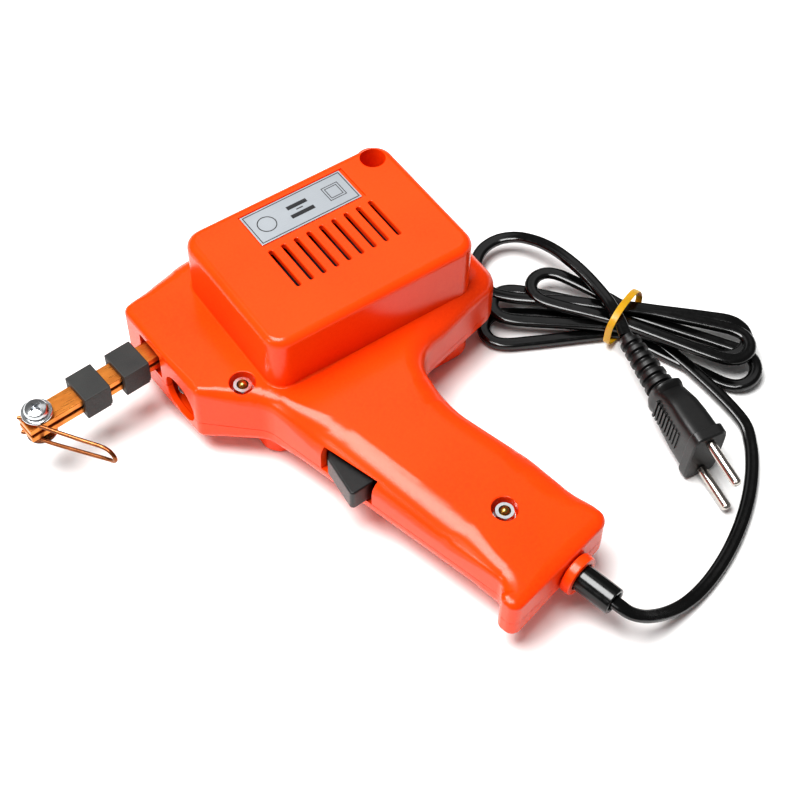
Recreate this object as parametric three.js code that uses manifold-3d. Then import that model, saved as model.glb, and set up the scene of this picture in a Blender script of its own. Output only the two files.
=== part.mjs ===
// Transformer soldering gun with its coiled mains cord.
//
// The gun lies on its side on the floor: nose along -X, handle along -Y, transformer box up, +Z up.
// Millimetres. All plans are drawn in the gun's drawing frame, whose origin is the blind end of the
// first cooling slot; the exported group is shifted so that the centre of the gun's footprint is 0, 0.
import * as THREE from 'three';
import { mergeVertices } from 'three/addons/utils/BufferGeometryUtils.js';
import Module from 'manifold-3d';

const wasm = await Module();
wasm.setup();

// ---------------------------------------------------------------- driving dimensions
const FOOTPRINT_CENTRE = { x: -15.73, y: -62.81 };
const GAP = 0.3;
const ARC_STEPS = 3;
const ROUND_SIDES = 20;

// heights of the case
const WALL = 2.5;
const BODY_BOTTOM = 10;
const PARTING = 20;
const BODY_TOP = 40;
const BOX_TOP = 66;
const BODY_EDGE = 3;
const TAPER_START_Y = -55;
const TAPER_PER_MM = 0.00388;

// transformer box, upper and lower
const UPPER_BOX = { x0: -25, x1: 69, y0: -42, y1: 26, r: 8 };
const LOWER_BOX = { x0: -29, x1: 69, y0: -43, y1: 26, r: 8 };
const VENT = { count: 9, pitch: 5.75, width: 1.9, length: 20.9 };
const NAMEPLATE = { x0: -1, x1: 45.2, y0: 3.8, y1: 20.6, thickness: 0.4 };

// case bolts: plan place and height of the ledge that the washer sits on
const BOLTS = [
  { name: 'front', x: -32.8, y: -30, ledge: 34 },
  { name: 'grip', x: 17.6, y: -129, ledge: 28.6 },
  { name: 'corner', x: 60.5, y: 18.8, ledge: 34 },
];
const BOLT = { shank: 4, clearance: 4.6, recess: 10.2, boss: 14, headAcross: 7.4, head: 2.8 };
const BOLT_HEAD_LEDGE = 15;
const NUT = { acrossFlats: 7, height: 3.2 };
const WASHER = { across: 9, hole: 4.6, thickness: 0.8 };

// secondary bars, which leave the nose turned a little from the box's axis
const BAR = { width: 9.2, thickness: 2.8, upperZ: 29.2, lowerZ: 24.8 };
const BAR_TURN = THREE.MathUtils.degToRad(4.4);
const CLAMP_POINT = { x: -102.3, y: 5.34 };
const BAR_END = -6.2;
const BLOCK = { length: 11.6, width: 14.2, z0: 22.9, z1: 34.5, fronts: [16.8, 34.6] };
const CLAMP = { washer: 12.2, washerThickness: 1, head: 9.6, headHeight: 2.6, shank: 4, hole: 4.6 };
const WIRE = 1.6;

// openings of the nose, and the lamp's base
const NOSE_CUT = { x0: -58, x1: -44 };
const LAMP_WINDOW = { y: -11.6, z: 21.8, halfWidth: 9.4, halfHeight: 8.2 };
const BAR_MOUTH = { y0: 1.5, y1: 15.5, z0: 22, z1: 35.5 };
const LAMP = { x: -36, y: -9, z: 24.5 };

// transformer
const CORE = { x0: -8, x1: 52, y0: -24, y1: 6, z0: 8, yoke: 10, z1: 48, iThickness: 10 };
const LIMB = { x0: 12, x1: 32 };
const BOBBIN = { z0: 33.6, z1: 47.6, flange: 9.4, wall: 1, flangeThickness: 1.2 };

// trigger and switch
const TRIGGER_SLOT = { y0: -92.4, y1: -68.2, z0: 19, z1: 33 };
const TRIGGER = {
  z0: 21,
  z1: 31,
  pivot: { x: -18, y: -70.5 },
  pin: 2,
  bore: 2.6,
  edge: 0.8,
  outline: [
    [-22.4, -72.4, 1], [-24.1, -91, 1.6], [-12.5, -90.4, 1.5], [-15.6, -69.5, 1.5], [-19.6, -68.9, 1.5],
  ],
};
const SWITCH = { x0: -7.5, x1: 12.5, y0: -95, y1: -75, z0: 16, z1: 32, axisY: -84, axisZ: 26 };
const CLAMP_BAR = {
  x: 25, y: -140, z0: 23.2, z1: 26.2, length: 24, width: 7, screws: [-9, 9], hole: 3.4, head: 5.6, shank: 2.8,
};
const PLUNGER = { head: 4.4, stem: 2, tipX: -12.9, shoulderX: -3.2, endX: 2 };
const SPRING = { wire: 0.6, coil: 3.6, turns: 5, x0: 0.9, x1: 7.4 };

// handle end and cord
const HANDLE_AXIS = new THREE.Vector3(0.218, -0.976, 0);
const HANDLE_END = 159.5;
const COLLAR = { across: 16.5, neck: 11.6, inside: 13.5, centre: { x: 28.6, y: -158.9 }, z: 20 };
const SLEEVE = { across: 10.7, tip: 8.2, length: 24, bore: 6.6 };
const CORD = { width: 5.4, thickness: 3.4 };

// ---------------------------------------------------------------- materials
const paint = (color, roughness, metalness) => (
  () => new THREE.MeshStandardMaterial({ color, roughness, metalness })
);
const orangePlastic = paint(0xf0480f, 0.25, 0);
const blackPlastic = paint(0x1c1c1b, 0.6, 0);
const blackRubber = paint(0x141414, 0.4, 0);
const copper = paint(0xd98a4a, 0.35, 1);
const zinc = paint(0xc9ccd0, 0.3, 1);
const brass = paint(0xb08d4a, 0.35, 1);
const silverFoil = paint(0xbfc4ca, 0.45, 0.8);
const laminations = paint(0x4a4c50, 0.5, 0.9);
const paperBobbin = paint(0xd8cfb8, 0.7, 0);
const enamel = paint(0x8a3a1a, 0.4, 0.4);
const clearGlass = paint(0xf4f6f4, 0.05, 0);
const ochreRubber = paint(0xc9a21e, 0.6, 0);
const blueVinyl = paint(0x2a5fb0, 0.4, 0);
const brownVinyl = paint(0x6a3b20, 0.4, 0);

// ---------------------------------------------------------------- solids
function solid(geometry) {
  const bare = geometry.clone();
  bare.deleteAttribute('normal');
  bare.deleteAttribute('uv');
  const merged = mergeVertices(bare, 1e-4);
  const triVerts = new Uint32Array(merged.index.array);
  const vertProperties = new Float32Array(merged.attributes.position.array);
  return new wasm.Manifold(new wasm.Mesh({ numProp: 3, vertProperties, triVerts }));
}

function geometryOf(manifold) {
  const { vertProperties, triVerts } = manifold.getMesh();
  const geometry = new THREE.BufferGeometry();
  geometry.setAttribute('position', new THREE.BufferAttribute(vertProperties, 3));
  geometry.setIndex(new THREE.BufferAttribute(triVerts, 1));
  return geometry;
}

function mesh(name, shape, material) {
  const geometry = shape.isBufferGeometry ? shape : geometryOf(shape);
  const piece = new THREE.Mesh(geometry, material());
  piece.name = name;
  return piece;
}

function box(x0, x1, y0, y1, z0, z1) {
  const geometry = new THREE.BoxGeometry(x1 - x0, y1 - y0, z1 - z0);
  return geometry.translate((x0 + x1) / 2, (y0 + y1) / 2, (z0 + z1) / 2);
}

// A cylinder between two heights, standing on a plan point.
function post(x, y, z0, z1, across, sides = ROUND_SIDES) {
  const geometry = new THREE.CylinderGeometry(across / 2, across / 2, z1 - z0, sides);
  return geometry.rotateX(Math.PI / 2).translate(x, y, (z0 + z1) / 2);
}

// A cylinder along X.
function rod(x0, x1, y, z, across, sides = ROUND_SIDES) {
  const geometry = new THREE.CylinderGeometry(across / 2, across / 2, x1 - x0, sides);
  return geometry.rotateZ(Math.PI / 2).translate((x0 + x1) / 2, y, z);
}

function joined(...geometries) {
  return geometries.map(solid).reduce((whole, next) => whole.add(next));
}

function cut(whole, ...geometries) {
  return geometries.map(solid).reduce((left, tool) => left.subtract(tool), whole);
}

// ---------------------------------------------------------------- outlines
// Corners are [x, y, radius], anticlockwise.
function roundedShape(corners) {
  const shape = new THREE.Shape();
  corners.forEach(([x, y, radius], i) => {
    const corner = new THREE.Vector2(x, y);
    const [bx, by] = corners.at(i - 1);
    const [ax, ay] = corners[(i + 1) % corners.length];
    const toBefore = new THREE.Vector2(bx, by).sub(corner).normalize();
    const toAfter = new THREE.Vector2(ax, ay).sub(corner).normalize();
    const half = Math.acos(toBefore.dot(toAfter)) / 2;
    const centre = toBefore.clone().add(toAfter).setLength(radius / Math.sin(half)).add(corner);
    const tangent = radius / Math.tan(half);
    const start = toBefore.multiplyScalar(tangent).add(corner).sub(centre);
    const end = toAfter.multiplyScalar(tangent).add(corner).sub(centre);
    const clockwise = start.cross(end) < 0;
    shape.absarc(centre.x, centre.y, radius, start.angle(), end.angle(), clockwise);
  });
  return shape;
}

// The same outline with every side moved inwards by a distance.
function inset(corners, distance) {
  const sides = corners.map(([x, y], i) => {
    const [nx, ny] = corners[(i + 1) % corners.length];
    const along = new THREE.Vector2(nx - x, ny - y).normalize();
    const inward = new THREE.Vector2(-along.y, along.x);
    return { from: new THREE.Vector2(x, y).addScaledVector(inward, distance), along };
  });
  return sides.map((side, i) => {
    const last = sides.at(i - 1);
    const turn = last.along.cross(side.along);
    const reach = side.from.clone().sub(last.from).cross(side.along) / turn;
    const corner = last.from.clone().addScaledVector(last.along, reach);
    const radius = corners[i][2] - Math.sign(turn) * distance;
    return [corner.x, corner.y, Math.max(radius, 0.8)];
  });
}

function rectangle({ x0, x1, y0, y1, r }) {
  return [[x0, y0, r], [x1, y0, r], [x1, y1, r], [x0, y1, r]];
}

// A slab of an outline between two heights, with its upper and lower edges taken off by `edge`.
function slab(corners, z0, z1, edge = 0) {
  const geometry = new THREE.ExtrudeGeometry(roundedShape(corners), {
    depth: z1 - z0 - 2 * edge,
    curveSegments: ARC_STEPS,
    bevelEnabled: edge > 0,
    bevelThickness: edge,
    bevelSize: edge,
    bevelOffset: -edge,
    bevelSegments: 1,
    steps: 1,
  });
  return geometry.translate(0, 0, z0 + edge);
}

function polygon(points, z0, z1) {
  const shape = new THREE.Shape(points.map(([x, y]) => new THREE.Vector2(x, y)));
  const geometry = new THREE.ExtrudeGeometry(shape, { depth: z1 - z0, bevelEnabled: false, steps: 1 });
  return geometry.translate(0, 0, z0);
}

// A tube whose section, given as [across, up] points, runs along a curve.
function tube(points, section, steps) {
  const path = new THREE.CatmullRomCurve3(points.map((p) => new THREE.Vector3(...p)), false, 'centripetal');
  const shape = new THREE.Shape(section.map(([x, y]) => new THREE.Vector2(x, y)));
  return new THREE.ExtrudeGeometry(shape, { steps, bevelEnabled: false, extrudePath: path });
}

function roundSection(across, sides) {
  return Array.from({ length: sides }, (_, i) => {
    const angle = (2 * Math.PI * i) / sides;
    return [(across / 2) * Math.cos(angle), (across / 2) * Math.sin(angle)];
  });
}

// ---------------------------------------------------------------- case
const handleSide = new THREE.Vector3(-HANDLE_AXIS.y, HANDLE_AXIS.x, 0);

function handlePoint(along, across) {
  const point = HANDLE_AXIS.clone().multiplyScalar(along).addScaledVector(handleSide, across);
  return [point.x, point.y];
}

const CASE_OUTLINE = [
  [-52.6, 27.5, 4],
  [-50.3, -23.8, 4],
  [-29.8, -42.6, 12],
  [0.2, -152, 5],
  [-5.2, -156.5, 3.5],
  [...handlePoint(HANDLE_END, -39.9), 4],
  [...handlePoint(HANDLE_END, 14), 5],
  [41.5, -114, 60],
  [31, -82, 40],
  [30.3, -54.6, 14],
  [81, -42, 9],
  [81, 38, 12],
  [-22, 38, 25],
];

// The handle's upper face slopes down towards its end, so heights above the parting line shrink.
function slopedHandle(whole) {
  const reach = 400;
  const body = whole.intersect(solid(box(-reach, reach, TAPER_START_Y, reach, -reach, reach)));
  const handle = whole.intersect(solid(box(-reach, reach, -reach, TAPER_START_Y, -reach, reach)));
  const geometry = geometryOf(handle);
  const { position } = geometry.attributes;
  for (let i = 0; i < position.count; i += 1) {
    const above = Math.max(position.getZ(i) - PARTING, 0);
    const keep = 1 - TAPER_PER_MM * Math.max(TAPER_START_Y - position.getY(i), 0);
    position.setZ(i, position.getZ(i) - above * (1 - keep));
  }
  return body.add(solid(geometry));
}

const caseOutside = slopedHandle(solid(slab(CASE_OUTLINE, BODY_BOTTOM, BODY_TOP, BODY_EDGE)));
const caseInside = slopedHandle(
  solid(slab(inset(CASE_OUTLINE, WALL), BODY_BOTTOM + WALL, BODY_TOP - WALL, 0)),
);

function handleRod(from, to, across) {
  const rodLength = to - from;
  const geometry = new THREE.CylinderGeometry(across / 2, across / 2, rodLength, ROUND_SIDES);
  const turn = new THREE.Quaternion().setFromUnitVectors(new THREE.Vector3(0, -1, 0), HANDLE_AXIS);
  geometry.applyQuaternion(turn);
  const middle = HANDLE_AXIS.clone().multiplyScalar((from + to) / 2);
  return geometry.translate(COLLAR.centre.x + middle.x, COLLAR.centre.y + middle.y, COLLAR.z);
}

// The oval window that the lamp shines through, the mouth for the bars and the cord's hole.
function noseAndCordOpenings() {
  const { y, z, halfWidth, halfHeight } = LAMP_WINDOW;
  const lampShape = new THREE.Shape().absellipse(0, 0, halfWidth, halfHeight, 0, 2 * Math.PI);
  const depth = NOSE_CUT.x1 - NOSE_CUT.x0;
  const lamp = new THREE.ExtrudeGeometry(lampShape, { depth, bevelEnabled: false, curveSegments: 10 });
  lamp.rotateX(Math.PI / 2).rotateZ(Math.PI / 2).translate(NOSE_CUT.x0, y, z);
  const bars = box(NOSE_CUT.x0, NOSE_CUT.x1, BAR_MOUTH.y0, BAR_MOUTH.y1, BAR_MOUTH.z0, BAR_MOUTH.z1);
  const cord = handleRod(-12, 6, COLLAR.neck + 0.8);
  return [lamp, bars, cord];
}

// The solids that make one bolt's boss, bore and recesses.
function bossTools(bolt) {
  return {
    boss: post(bolt.x, bolt.y, BODY_BOTTOM + 1, bolt.name === 'grip' ? 33 : 38.5, BOLT.boss),
    cornerBoss: post(bolt.x, bolt.y, BODY_BOTTOM + 1, BOX_TOP - 1, BOLT.boss),
    bore: post(bolt.x, bolt.y, BODY_BOTTOM - 12, BOX_TOP + 2, BOLT.clearance),
    recess: post(bolt.x, bolt.y, bolt.ledge, BOX_TOP + 2, BOLT.recess),
    headRecess: post(bolt.x, bolt.y, BODY_BOTTOM - 12, BOLT_HEAD_LEDGE, BOLT.headAcross + 1),
  };
}

// Everything of the case's halves that both share: hollow walls with bolt bosses.
function hollowCase() {
  const upperBox = solid(slab(rectangle(UPPER_BOX), BODY_BOTTOM + 4, BOX_TOP, BODY_EDGE));
  const lowerBox = solid(slab(rectangle(LOWER_BOX), 0, BODY_TOP - 4, BODY_EDGE));
  const upperHollow = solid(slab(inset(rectangle(UPPER_BOX), WALL), BODY_BOTTOM + 4, BOX_TOP - WALL));
  const lowerHollow = solid(slab(inset(rectangle(LOWER_BOX), WALL), WALL, BODY_TOP - 4 - WALL));
  let walls = caseOutside.add(upperBox).add(lowerBox);
  walls = walls.subtract(caseInside).subtract(upperHollow).subtract(lowerHollow);
  for (const bolt of BOLTS) {
    const tools = bossTools(bolt);
    walls = walls.add(solid(bolt.name === 'corner' ? tools.cornerBoss : tools.boss));
  }
  for (const bolt of BOLTS) {
    const tools = bossTools(bolt);
    walls = cut(walls, tools.bore, tools.recess, tools.headRecess);
  }
  return cut(walls, ...noseAndCordOpenings());
}

function ventSlots() {
  return Array.from({ length: VENT.count }, (_, i) => {
    const x = i * VENT.pitch;
    const half = VENT.width / 2;
    return box(x - half, x + half, -VENT.length, 0, BOX_TOP - 2 * WALL, BOX_TOP + 1);
  });
}

function nameplateRecess() {
  const { x0, x1, y0, y1, thickness } = NAMEPLATE;
  return box(x0 - 0.5, x1 + 1.5, y0 - 0.5, y1 + 0.5, BOX_TOP - thickness - GAP, BOX_TOP + 1);
}

// Ribs that hold the core from above and below.
function coreRibs(z0, z1) {
  const inside = 2;
  return [CORE.x0 + inside, CORE.x1 - inside - 2].map((x) => (
    box(x, x + 2, CORE.y0 + 3, CORE.y1 - 3, z0, z1)
  ));
}

function triggerSlot() {
  const { y0, y1, z0, z1 } = TRIGGER_SLOT;
  return box(-32, -12, y0, y1, z0, z1);
}

// Two lugs above and below the trigger's barrel, one in each half of the case.
function triggerLug(z0, z1) {
  const { x, y } = TRIGGER.pivot;
  return cut(joined(post(x, y, z0, z1, 6)), post(x, y, z0 - 1, z1 + 1, TRIGGER.pin + 0.2));
}

function upperShell(whole) {
  let shell = whole.intersect(solid(box(-200, 200, -200, 200, PARTING + GAP / 2, BOX_TOP + 5)));
  const top = CORE.z1 + GAP + CORE.iThickness;
  for (const rib of coreRibs(top + GAP, BOX_TOP - 1)) {
    shell = shell.add(solid(rib));
  }
  shell = cut(shell, ...ventSlots(), nameplateRecess(), triggerSlot());
  shell = shell.add(triggerLug(TRIGGER.z1 + GAP, BODY_TOP - WALL - 0.4));
  return mesh('upper_shell', shell, orangePlastic);
}

function lowerShell(whole) {
  let shell = whole.intersect(solid(box(-200, 200, -200, 200, -5, PARTING - GAP / 2)));
  for (const rib of coreRibs(WALL - 1, CORE.z0 - GAP)) {
    shell = shell.add(solid(rib));
  }
  shell = shell.add(triggerLug(BODY_BOTTOM + 1, TRIGGER.z0 - GAP));
  return mesh('lower_shell', shell, orangePlastic);
}

function nameplate() {
  const { x0, x1, y0, y1, thickness } = NAMEPLATE;
  return mesh('nameplate', box(x0, x1, y0, y1, BOX_TOP - thickness, BOX_TOP), silverFoil);
}

// ---------------------------------------------------------------- case bolts
function caseBolt({ name, x, y, ledge }) {
  const headTop = BOLT_HEAD_LEDGE - GAP;
  const shankTop = ledge + GAP * 2 + WASHER.thickness + NUT.height + 1.4;
  const head = post(x, y, headTop - BOLT.head, headTop, BOLT.headAcross);
  const shank = post(x, y, headTop - 1, shankTop, BOLT.shank);
  const slot = box(x - 5, x + 5, y - 0.5, y + 0.5, headTop - BOLT.head - 1, headTop - BOLT.head + 1.2);
  return mesh(`${name}_bolt`, cut(joined(head, shank), slot), brass);
}

function caseNut({ name, x, y, ledge }) {
  const z0 = ledge + 2 * GAP + WASHER.thickness;
  const across = NUT.acrossFlats / Math.cos(Math.PI / 6);
  const hex = post(x, y, z0, z0 + NUT.height, across, 6);
  return mesh(`${name}_nut`, cut(joined(hex), post(x, y, z0 - 1, z0 + 5, BOLT.shank + 0.6)), zinc);
}

function caseWasher({ name, x, y, ledge }) {
  const z0 = ledge + GAP;
  const ring = joined(post(x, y, z0, z0 + WASHER.thickness, WASHER.across));
  return mesh(`${name}_washer`, cut(ring, post(x, y, z0 - 1, z0 + 2, WASHER.hole)), zinc);
}

// ---------------------------------------------------------------- transformer
function coreE() {
  const { x0, x1, y0, y1, z0, yoke, z1 } = CORE;
  const windows = [[x0 + 10, LIMB.x0], [LIMB.x1, x1 - 10]];
  const tools = windows.map(([a, b]) => box(a, b, y0 - 1, y1 + 1, z0 + yoke, z1 + 1));
  return mesh('core_e', cut(solid(box(x0, x1, y0, y1, z0, z1)), ...tools), laminations);
}

function coreI() {
  const { x0, x1, y0, y1, z1, iThickness } = CORE;
  return mesh('core_i', box(x0, x1, y0, y1, z1 + GAP, z1 + GAP + iThickness), laminations);
}

function limbRing(inner, outer, z0, z1) {
  const around = (d) => [LIMB.x0 - d, LIMB.x1 + d, CORE.y0 - d, CORE.y1 + d];
  return cut(solid(box(...around(outer), z0, z1)), box(...around(inner), z0 - 1, z1 + 1));
}

function bobbin() {
  const { z0, z1, flange, wall, flangeThickness } = BOBBIN;
  const sleeve = limbRing(GAP, GAP + wall, z0, z1);
  const bottom = limbRing(GAP, flange, z0, z0 + flangeThickness);
  const top = limbRing(GAP, flange, z1 - flangeThickness, z1);
  return mesh('bobbin', sleeve.add(bottom).add(top), paperBobbin);
}

function primaryWinding() {
  const { z0, z1, flange, wall, flangeThickness } = BOBBIN;
  const ring = limbRing(2 * GAP + wall, flange - 0.6, z0 + flangeThickness + GAP, z1 - flangeThickness - GAP);
  return mesh('primary_winding', ring, enamel);
}

// ---------------------------------------------------------------- secondary bars and tip
const barAlong = new THREE.Vector2(Math.cos(BAR_TURN), Math.sin(BAR_TURN));

function barPoint(along, across) {
  return [
    CLAMP_POINT.x + along * barAlong.x - across * barAlong.y,
    CLAMP_POINT.y + along * barAlong.y + across * barAlong.x,
  ];
}

// Along the bar's line, how far it is from the clamp screw to a given x, at a given side.
function alongAt(x, across) {
  return (x - CLAMP_POINT.x + across * barAlong.y) / barAlong.x;
}

// A flat bar from the nose to the core, then across the core through one of its windows.
function secondaryBar(name, windowX, z0) {
  const half = BAR.width / 2;
  const limb = 3.6;
  const front = CORE.y0 - 3;
  const outline = [
    barPoint(BAR_END, half),
    barPoint(BAR_END, -half),
    barPoint(alongAt(windowX - limb, -half), -half),
    [windowX - limb, front],
    [windowX + limb, front],
    barPoint(alongAt(windowX + limb, half), half),
  ];
  const [sx, sy] = barPoint(0, 0);
  const flat = solid(polygon(outline, z0, z0 + BAR.thickness));
  const screwHole = post(sx, sy, z0 - 1, z0 + 5, CLAMP.hole);
  return mesh(name, cut(flat, screwHole), copper);
}

function loopBridge() {
  const y1 = CORE.y0 - 3 - GAP;
  return mesh('loop_bridge', box(3.4, 40.6, y1 - 5.4, y1, BAR.lowerZ, BAR.upperZ + BAR.thickness), copper);
}

// The nose group's own axes: X along the bars from the clamp screws, Z up.
function insulatorBlock(name, front) {
  const half = BLOCK.width / 2;
  const body = solid(box(front, front + BLOCK.length, -half, half, BLOCK.z0, BLOCK.z1));
  const slots = [BAR.lowerZ, BAR.upperZ].map((z) => (
    box(front - 1, front + BLOCK.length + 1, -BAR.width / 2 - GAP, BAR.width / 2 + GAP,
      z - GAP, z + BAR.thickness + GAP)
  ));
  return mesh(name, cut(body, ...slots), blackPlastic);
}

function clampWasher(name, z0) {
  const ring = solid(post(0, 0, z0, z0 + CLAMP.washerThickness, CLAMP.washer));
  return mesh(name, cut(ring, post(0, 0, z0 - 1, z0 + 3, CLAMP.hole)), zinc);
}

// A screw whose head faces away from the bars: `out` is +1 above them and -1 below.
function clampScrew(name, headZ, out) {
  const profile = [
    [0, -CLAMP.headHeight - 0.6],
    [CLAMP.shank / 2, -CLAMP.headHeight - 0.6],
    [CLAMP.shank / 2, 0],
    [CLAMP.head / 2, 0],
    [CLAMP.head / 2, CLAMP.headHeight * 0.5],
    [CLAMP.head * 0.36, CLAMP.headHeight * 0.9],
    [0, CLAMP.headHeight],
  ];
  const shankEnd = BAR.thickness + WIRE + CLAMP.washerThickness + 2 * GAP - 0.6;
  const outline = profile.map(([r, z]) => new THREE.Vector2(r, z < 0 ? -shankEnd : z));
  const turned = new THREE.LatheGeometry(outline, ROUND_SIDES).rotateX(Math.PI / 2);
  const depth = 1.4;
  const arms = [[2.6, 0.45], [0.45, 2.6]];
  const cross = arms.map(([x, y]) => box(-x, x, -y, y, CLAMP.headHeight - depth, CLAMP.headHeight + 1));
  const screw = mesh(name, cut(solid(turned), ...cross), zinc);
  screw.position.z = headZ;
  screw.rotation.x = out > 0 ? 0 : Math.PI;
  return screw;
}

// One bent wire: under the upper washer, out to the hot end, round and back under the lower washer.
function tipWire() {
  const upper = BAR.upperZ + BAR.thickness + WIRE / 2 + GAP;
  const lower = BAR.lowerZ - WIRE / 2 - GAP;
  const mid = (upper + lower) / 2;
  const plan = [
    [-9.6, 4.6], [-6.4, 3.2], [-4.1, 0.6], [-3.1, -3.2], [-1.1, -7.2], [6.2, -19.4], [11.8, -28.8],
  ];
  const leg = (z, bow) => plan.map(([x, y], i) => [x, y, z - bow * Math.max(i - 4, 0)]);
  const tip = [[12.6, -31.6, mid + 2.2], [12.9, -32.6, mid], [12.6, -31.6, mid - 2.2]];
  const points = [...leg(upper, 0.6), ...tip, ...leg(lower, -0.6).reverse()];
  return mesh('tip_wire', tube(points, roundSection(WIRE, 6), 48), copper);
}

function noseGroup() {
  const upperFace = BAR.upperZ + BAR.thickness + WIRE + 2 * GAP;
  const lowerFace = BAR.lowerZ - WIRE - 2 * GAP;
  const group = new THREE.Group();
  group.position.set(CLAMP_POINT.x, CLAMP_POINT.y, 0);
  group.rotation.z = BAR_TURN;
  group.add(
    insulatorBlock('front_block', BLOCK.fronts[0]),
    insulatorBlock('rear_block', BLOCK.fronts[1]),
    clampWasher('upper_clamp_washer', upperFace),
    clampWasher('lower_clamp_washer', lowerFace - CLAMP.washerThickness),
    clampScrew('upper_clamp_screw', upperFace + CLAMP.washerThickness + GAP, 1),
    clampScrew('lower_clamp_screw', lowerFace - CLAMP.washerThickness - GAP, -1),
    tipWire(),
  );
  return group;
}

// ---------------------------------------------------------------- lamp
function lampBulb() {
  const profile = [[0, 0], [2.2, 0], [2.2, 5], [3.2, 8.5], [3.4, 10.5], [2.4, 12.9], [0, 13.8]];
  const points = profile.map(([r, z]) => new THREE.Vector2(r, z));
  const bulb = mesh('lamp_bulb', new THREE.LatheGeometry(points, 16), clearGlass);
  bulb.position.set(LAMP.x, LAMP.y, LAMP.z);
  bulb.rotation.z = Math.PI / 2;
  return bulb;
}

function lampHolder() {
  const holder = cut(
    joined(rod(LAMP.x - 3, LAMP.x + 6, LAMP.y, LAMP.z, 8), box(LAMP.x + 2, LAMP.x + 6, -15, -3, 20.4, 29.5)),
    rod(LAMP.x - 4, LAMP.x + GAP, LAMP.y, LAMP.z, 5.2),
  );
  return mesh('lamp_holder', holder, blackPlastic);
}

// ---------------------------------------------------------------- trigger and switch
function trigger() {
  const { x, y } = TRIGGER.pivot;
  const edge = TRIGGER.edge;
  const body = new THREE.ExtrudeGeometry(roundedShape(TRIGGER.outline), {
    depth: TRIGGER.z1 - TRIGGER.z0 - 2 * edge,
    bevelThickness: edge,
    bevelSize: edge,
    bevelOffset: -edge,
    bevelSegments: 2,
    curveSegments: ARC_STEPS,
  });
  body.translate(0, 0, TRIGGER.z0 + edge);
  const shape = cut(solid(body), post(x, y, TRIGGER.z0 - 1, TRIGGER.z1 + 1, TRIGGER.bore));
  return mesh('trigger', shape, blackPlastic);
}

function triggerPin() {
  const { x, y } = TRIGGER.pivot;
  return mesh('trigger_pin', post(x, y, BODY_BOTTOM + WALL + 1, 35.5, TRIGGER.pin - GAP, 16), zinc);
}

function switchBody() {
  const { x0, x1, y0, y1, z0, z1, axisY, axisZ } = SWITCH;
  const body = cut(solid(box(x0, x1, y0, y1, z0, z1)), rod(x0 - 1, SPRING.x1 + 0.3, axisY, axisZ, 5.2, 16));
  return mesh('switch_body', body, blackPlastic);
}

function switchPlunger() {
  const { axisY, axisZ } = SWITCH;
  const { head, stem, tipX, shoulderX, endX } = PLUNGER;
  const shape = joined(
    rod(tipX, shoulderX, axisY, axisZ, head, 16),
    rod(shoulderX - 1, endX, axisY, axisZ, stem, 12),
  );
  return mesh('switch_plunger', shape, paperBobbin);
}

function switchSpring() {
  const { wire, coil, turns, x0, x1 } = SPRING;
  const perTurn = 10;
  const count = turns * perTurn;
  const points = Array.from({ length: count + 1 }, (_, i) => {
    const angle = (2 * Math.PI * i) / perTurn;
    const x = x0 + ((x1 - x0) * i) / count;
    return [x, SWITCH.axisY + (coil / 2) * Math.cos(angle), SWITCH.axisZ + (coil / 2) * Math.sin(angle)];
  });
  return mesh('switch_spring', tube(points, roundSection(wire, 5), count), zinc);
}

// ---------------------------------------------------------------- cord entry
// Measured from the collar's middle, along the handle's axis.
function cableGland() {
  const ring = joined(
    handleRod(-1.2, 3, COLLAR.across),
    handleRod(-9, 0, COLLAR.neck),
    handleRod(-12, -6.4, COLLAR.inside),
  );
  const bore = solid(handleRod(-20, 10, SLEEVE.across + 2 * GAP));
  return mesh('cable_gland', ring.subtract(bore), orangePlastic);
}

function strainRelief() {
  const profile = [
    [SLEEVE.bore / 2, 0],
    [SLEEVE.across / 2, 0],
    [SLEEVE.across / 2, SLEEVE.length * 0.7],
    [SLEEVE.tip / 2, SLEEVE.length],
    [SLEEVE.bore / 2, SLEEVE.length],
    [SLEEVE.bore / 2, 0],
  ];
  const geometry = new THREE.LatheGeometry(profile.map(([r, z]) => new THREE.Vector2(r, z)), 16);
  const sleeve = mesh('strain_relief', geometry, blackRubber);
  sleeve.quaternion.setFromUnitVectors(new THREE.Vector3(0, 1, 0), HANDLE_AXIS);
  const start = HANDLE_AXIS.clone().multiplyScalar(-6);
  sleeve.position.set(COLLAR.centre.x + start.x, COLLAR.centre.y + start.y, COLLAR.z);
  return sleeve;
}

function cableClamp() {
  const { x, y, z0, z1, length, width, screws, hole } = CLAMP_BAR;
  const bar = solid(box(x - length / 2, x + length / 2, y - width / 2, y + width / 2, z0, z1));
  const holes = screws.map((dx) => post(x + dx, y, z0 - 1, z1 + 1, hole, 12));
  return mesh('cable_clamp', cut(bar, ...holes), paperBobbin);
}

function clampScrews() {
  const { x, y, z1, screws, head: across, shank: thickness } = CLAMP_BAR;
  return screws.map((dx, i) => {
    const head = post(x + dx, y, z1 + GAP, z1 + GAP + 1.8, across, 16);
    const shank = post(x + dx, y, BODY_BOTTOM + WALL + GAP, z1 + 0.8, thickness, 12);
    return mesh(`cable_clamp_screw_${i + 1}`, joined(head, shank), zinc);
  });
}

function leads() {
  const live = [
    [24.6, -134.6, 20.4], [27, -126, 21.5], [28, -113, 22], [25, -103, 22.6], [18, -97.5, 23],
    [14.5, -92, 23], [13.9, -86, 23],
  ];
  const neutral = [
    [27.2, -135, 20.4], [30.5, -126, 21], [31, -112, 21], [26.5, -92, 20], [22, -70, 20],
    [16, -52, 22], [16, -40, 34], [16, -36.4, 40],
  ];
  const section = roundSection(2, 6);
  return [
    mesh('lead_live', tube(live, section, 24), brownVinyl),
    mesh('lead_neutral', tube(neutral, section, 36), blueVinyl),
  ];
}

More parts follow.
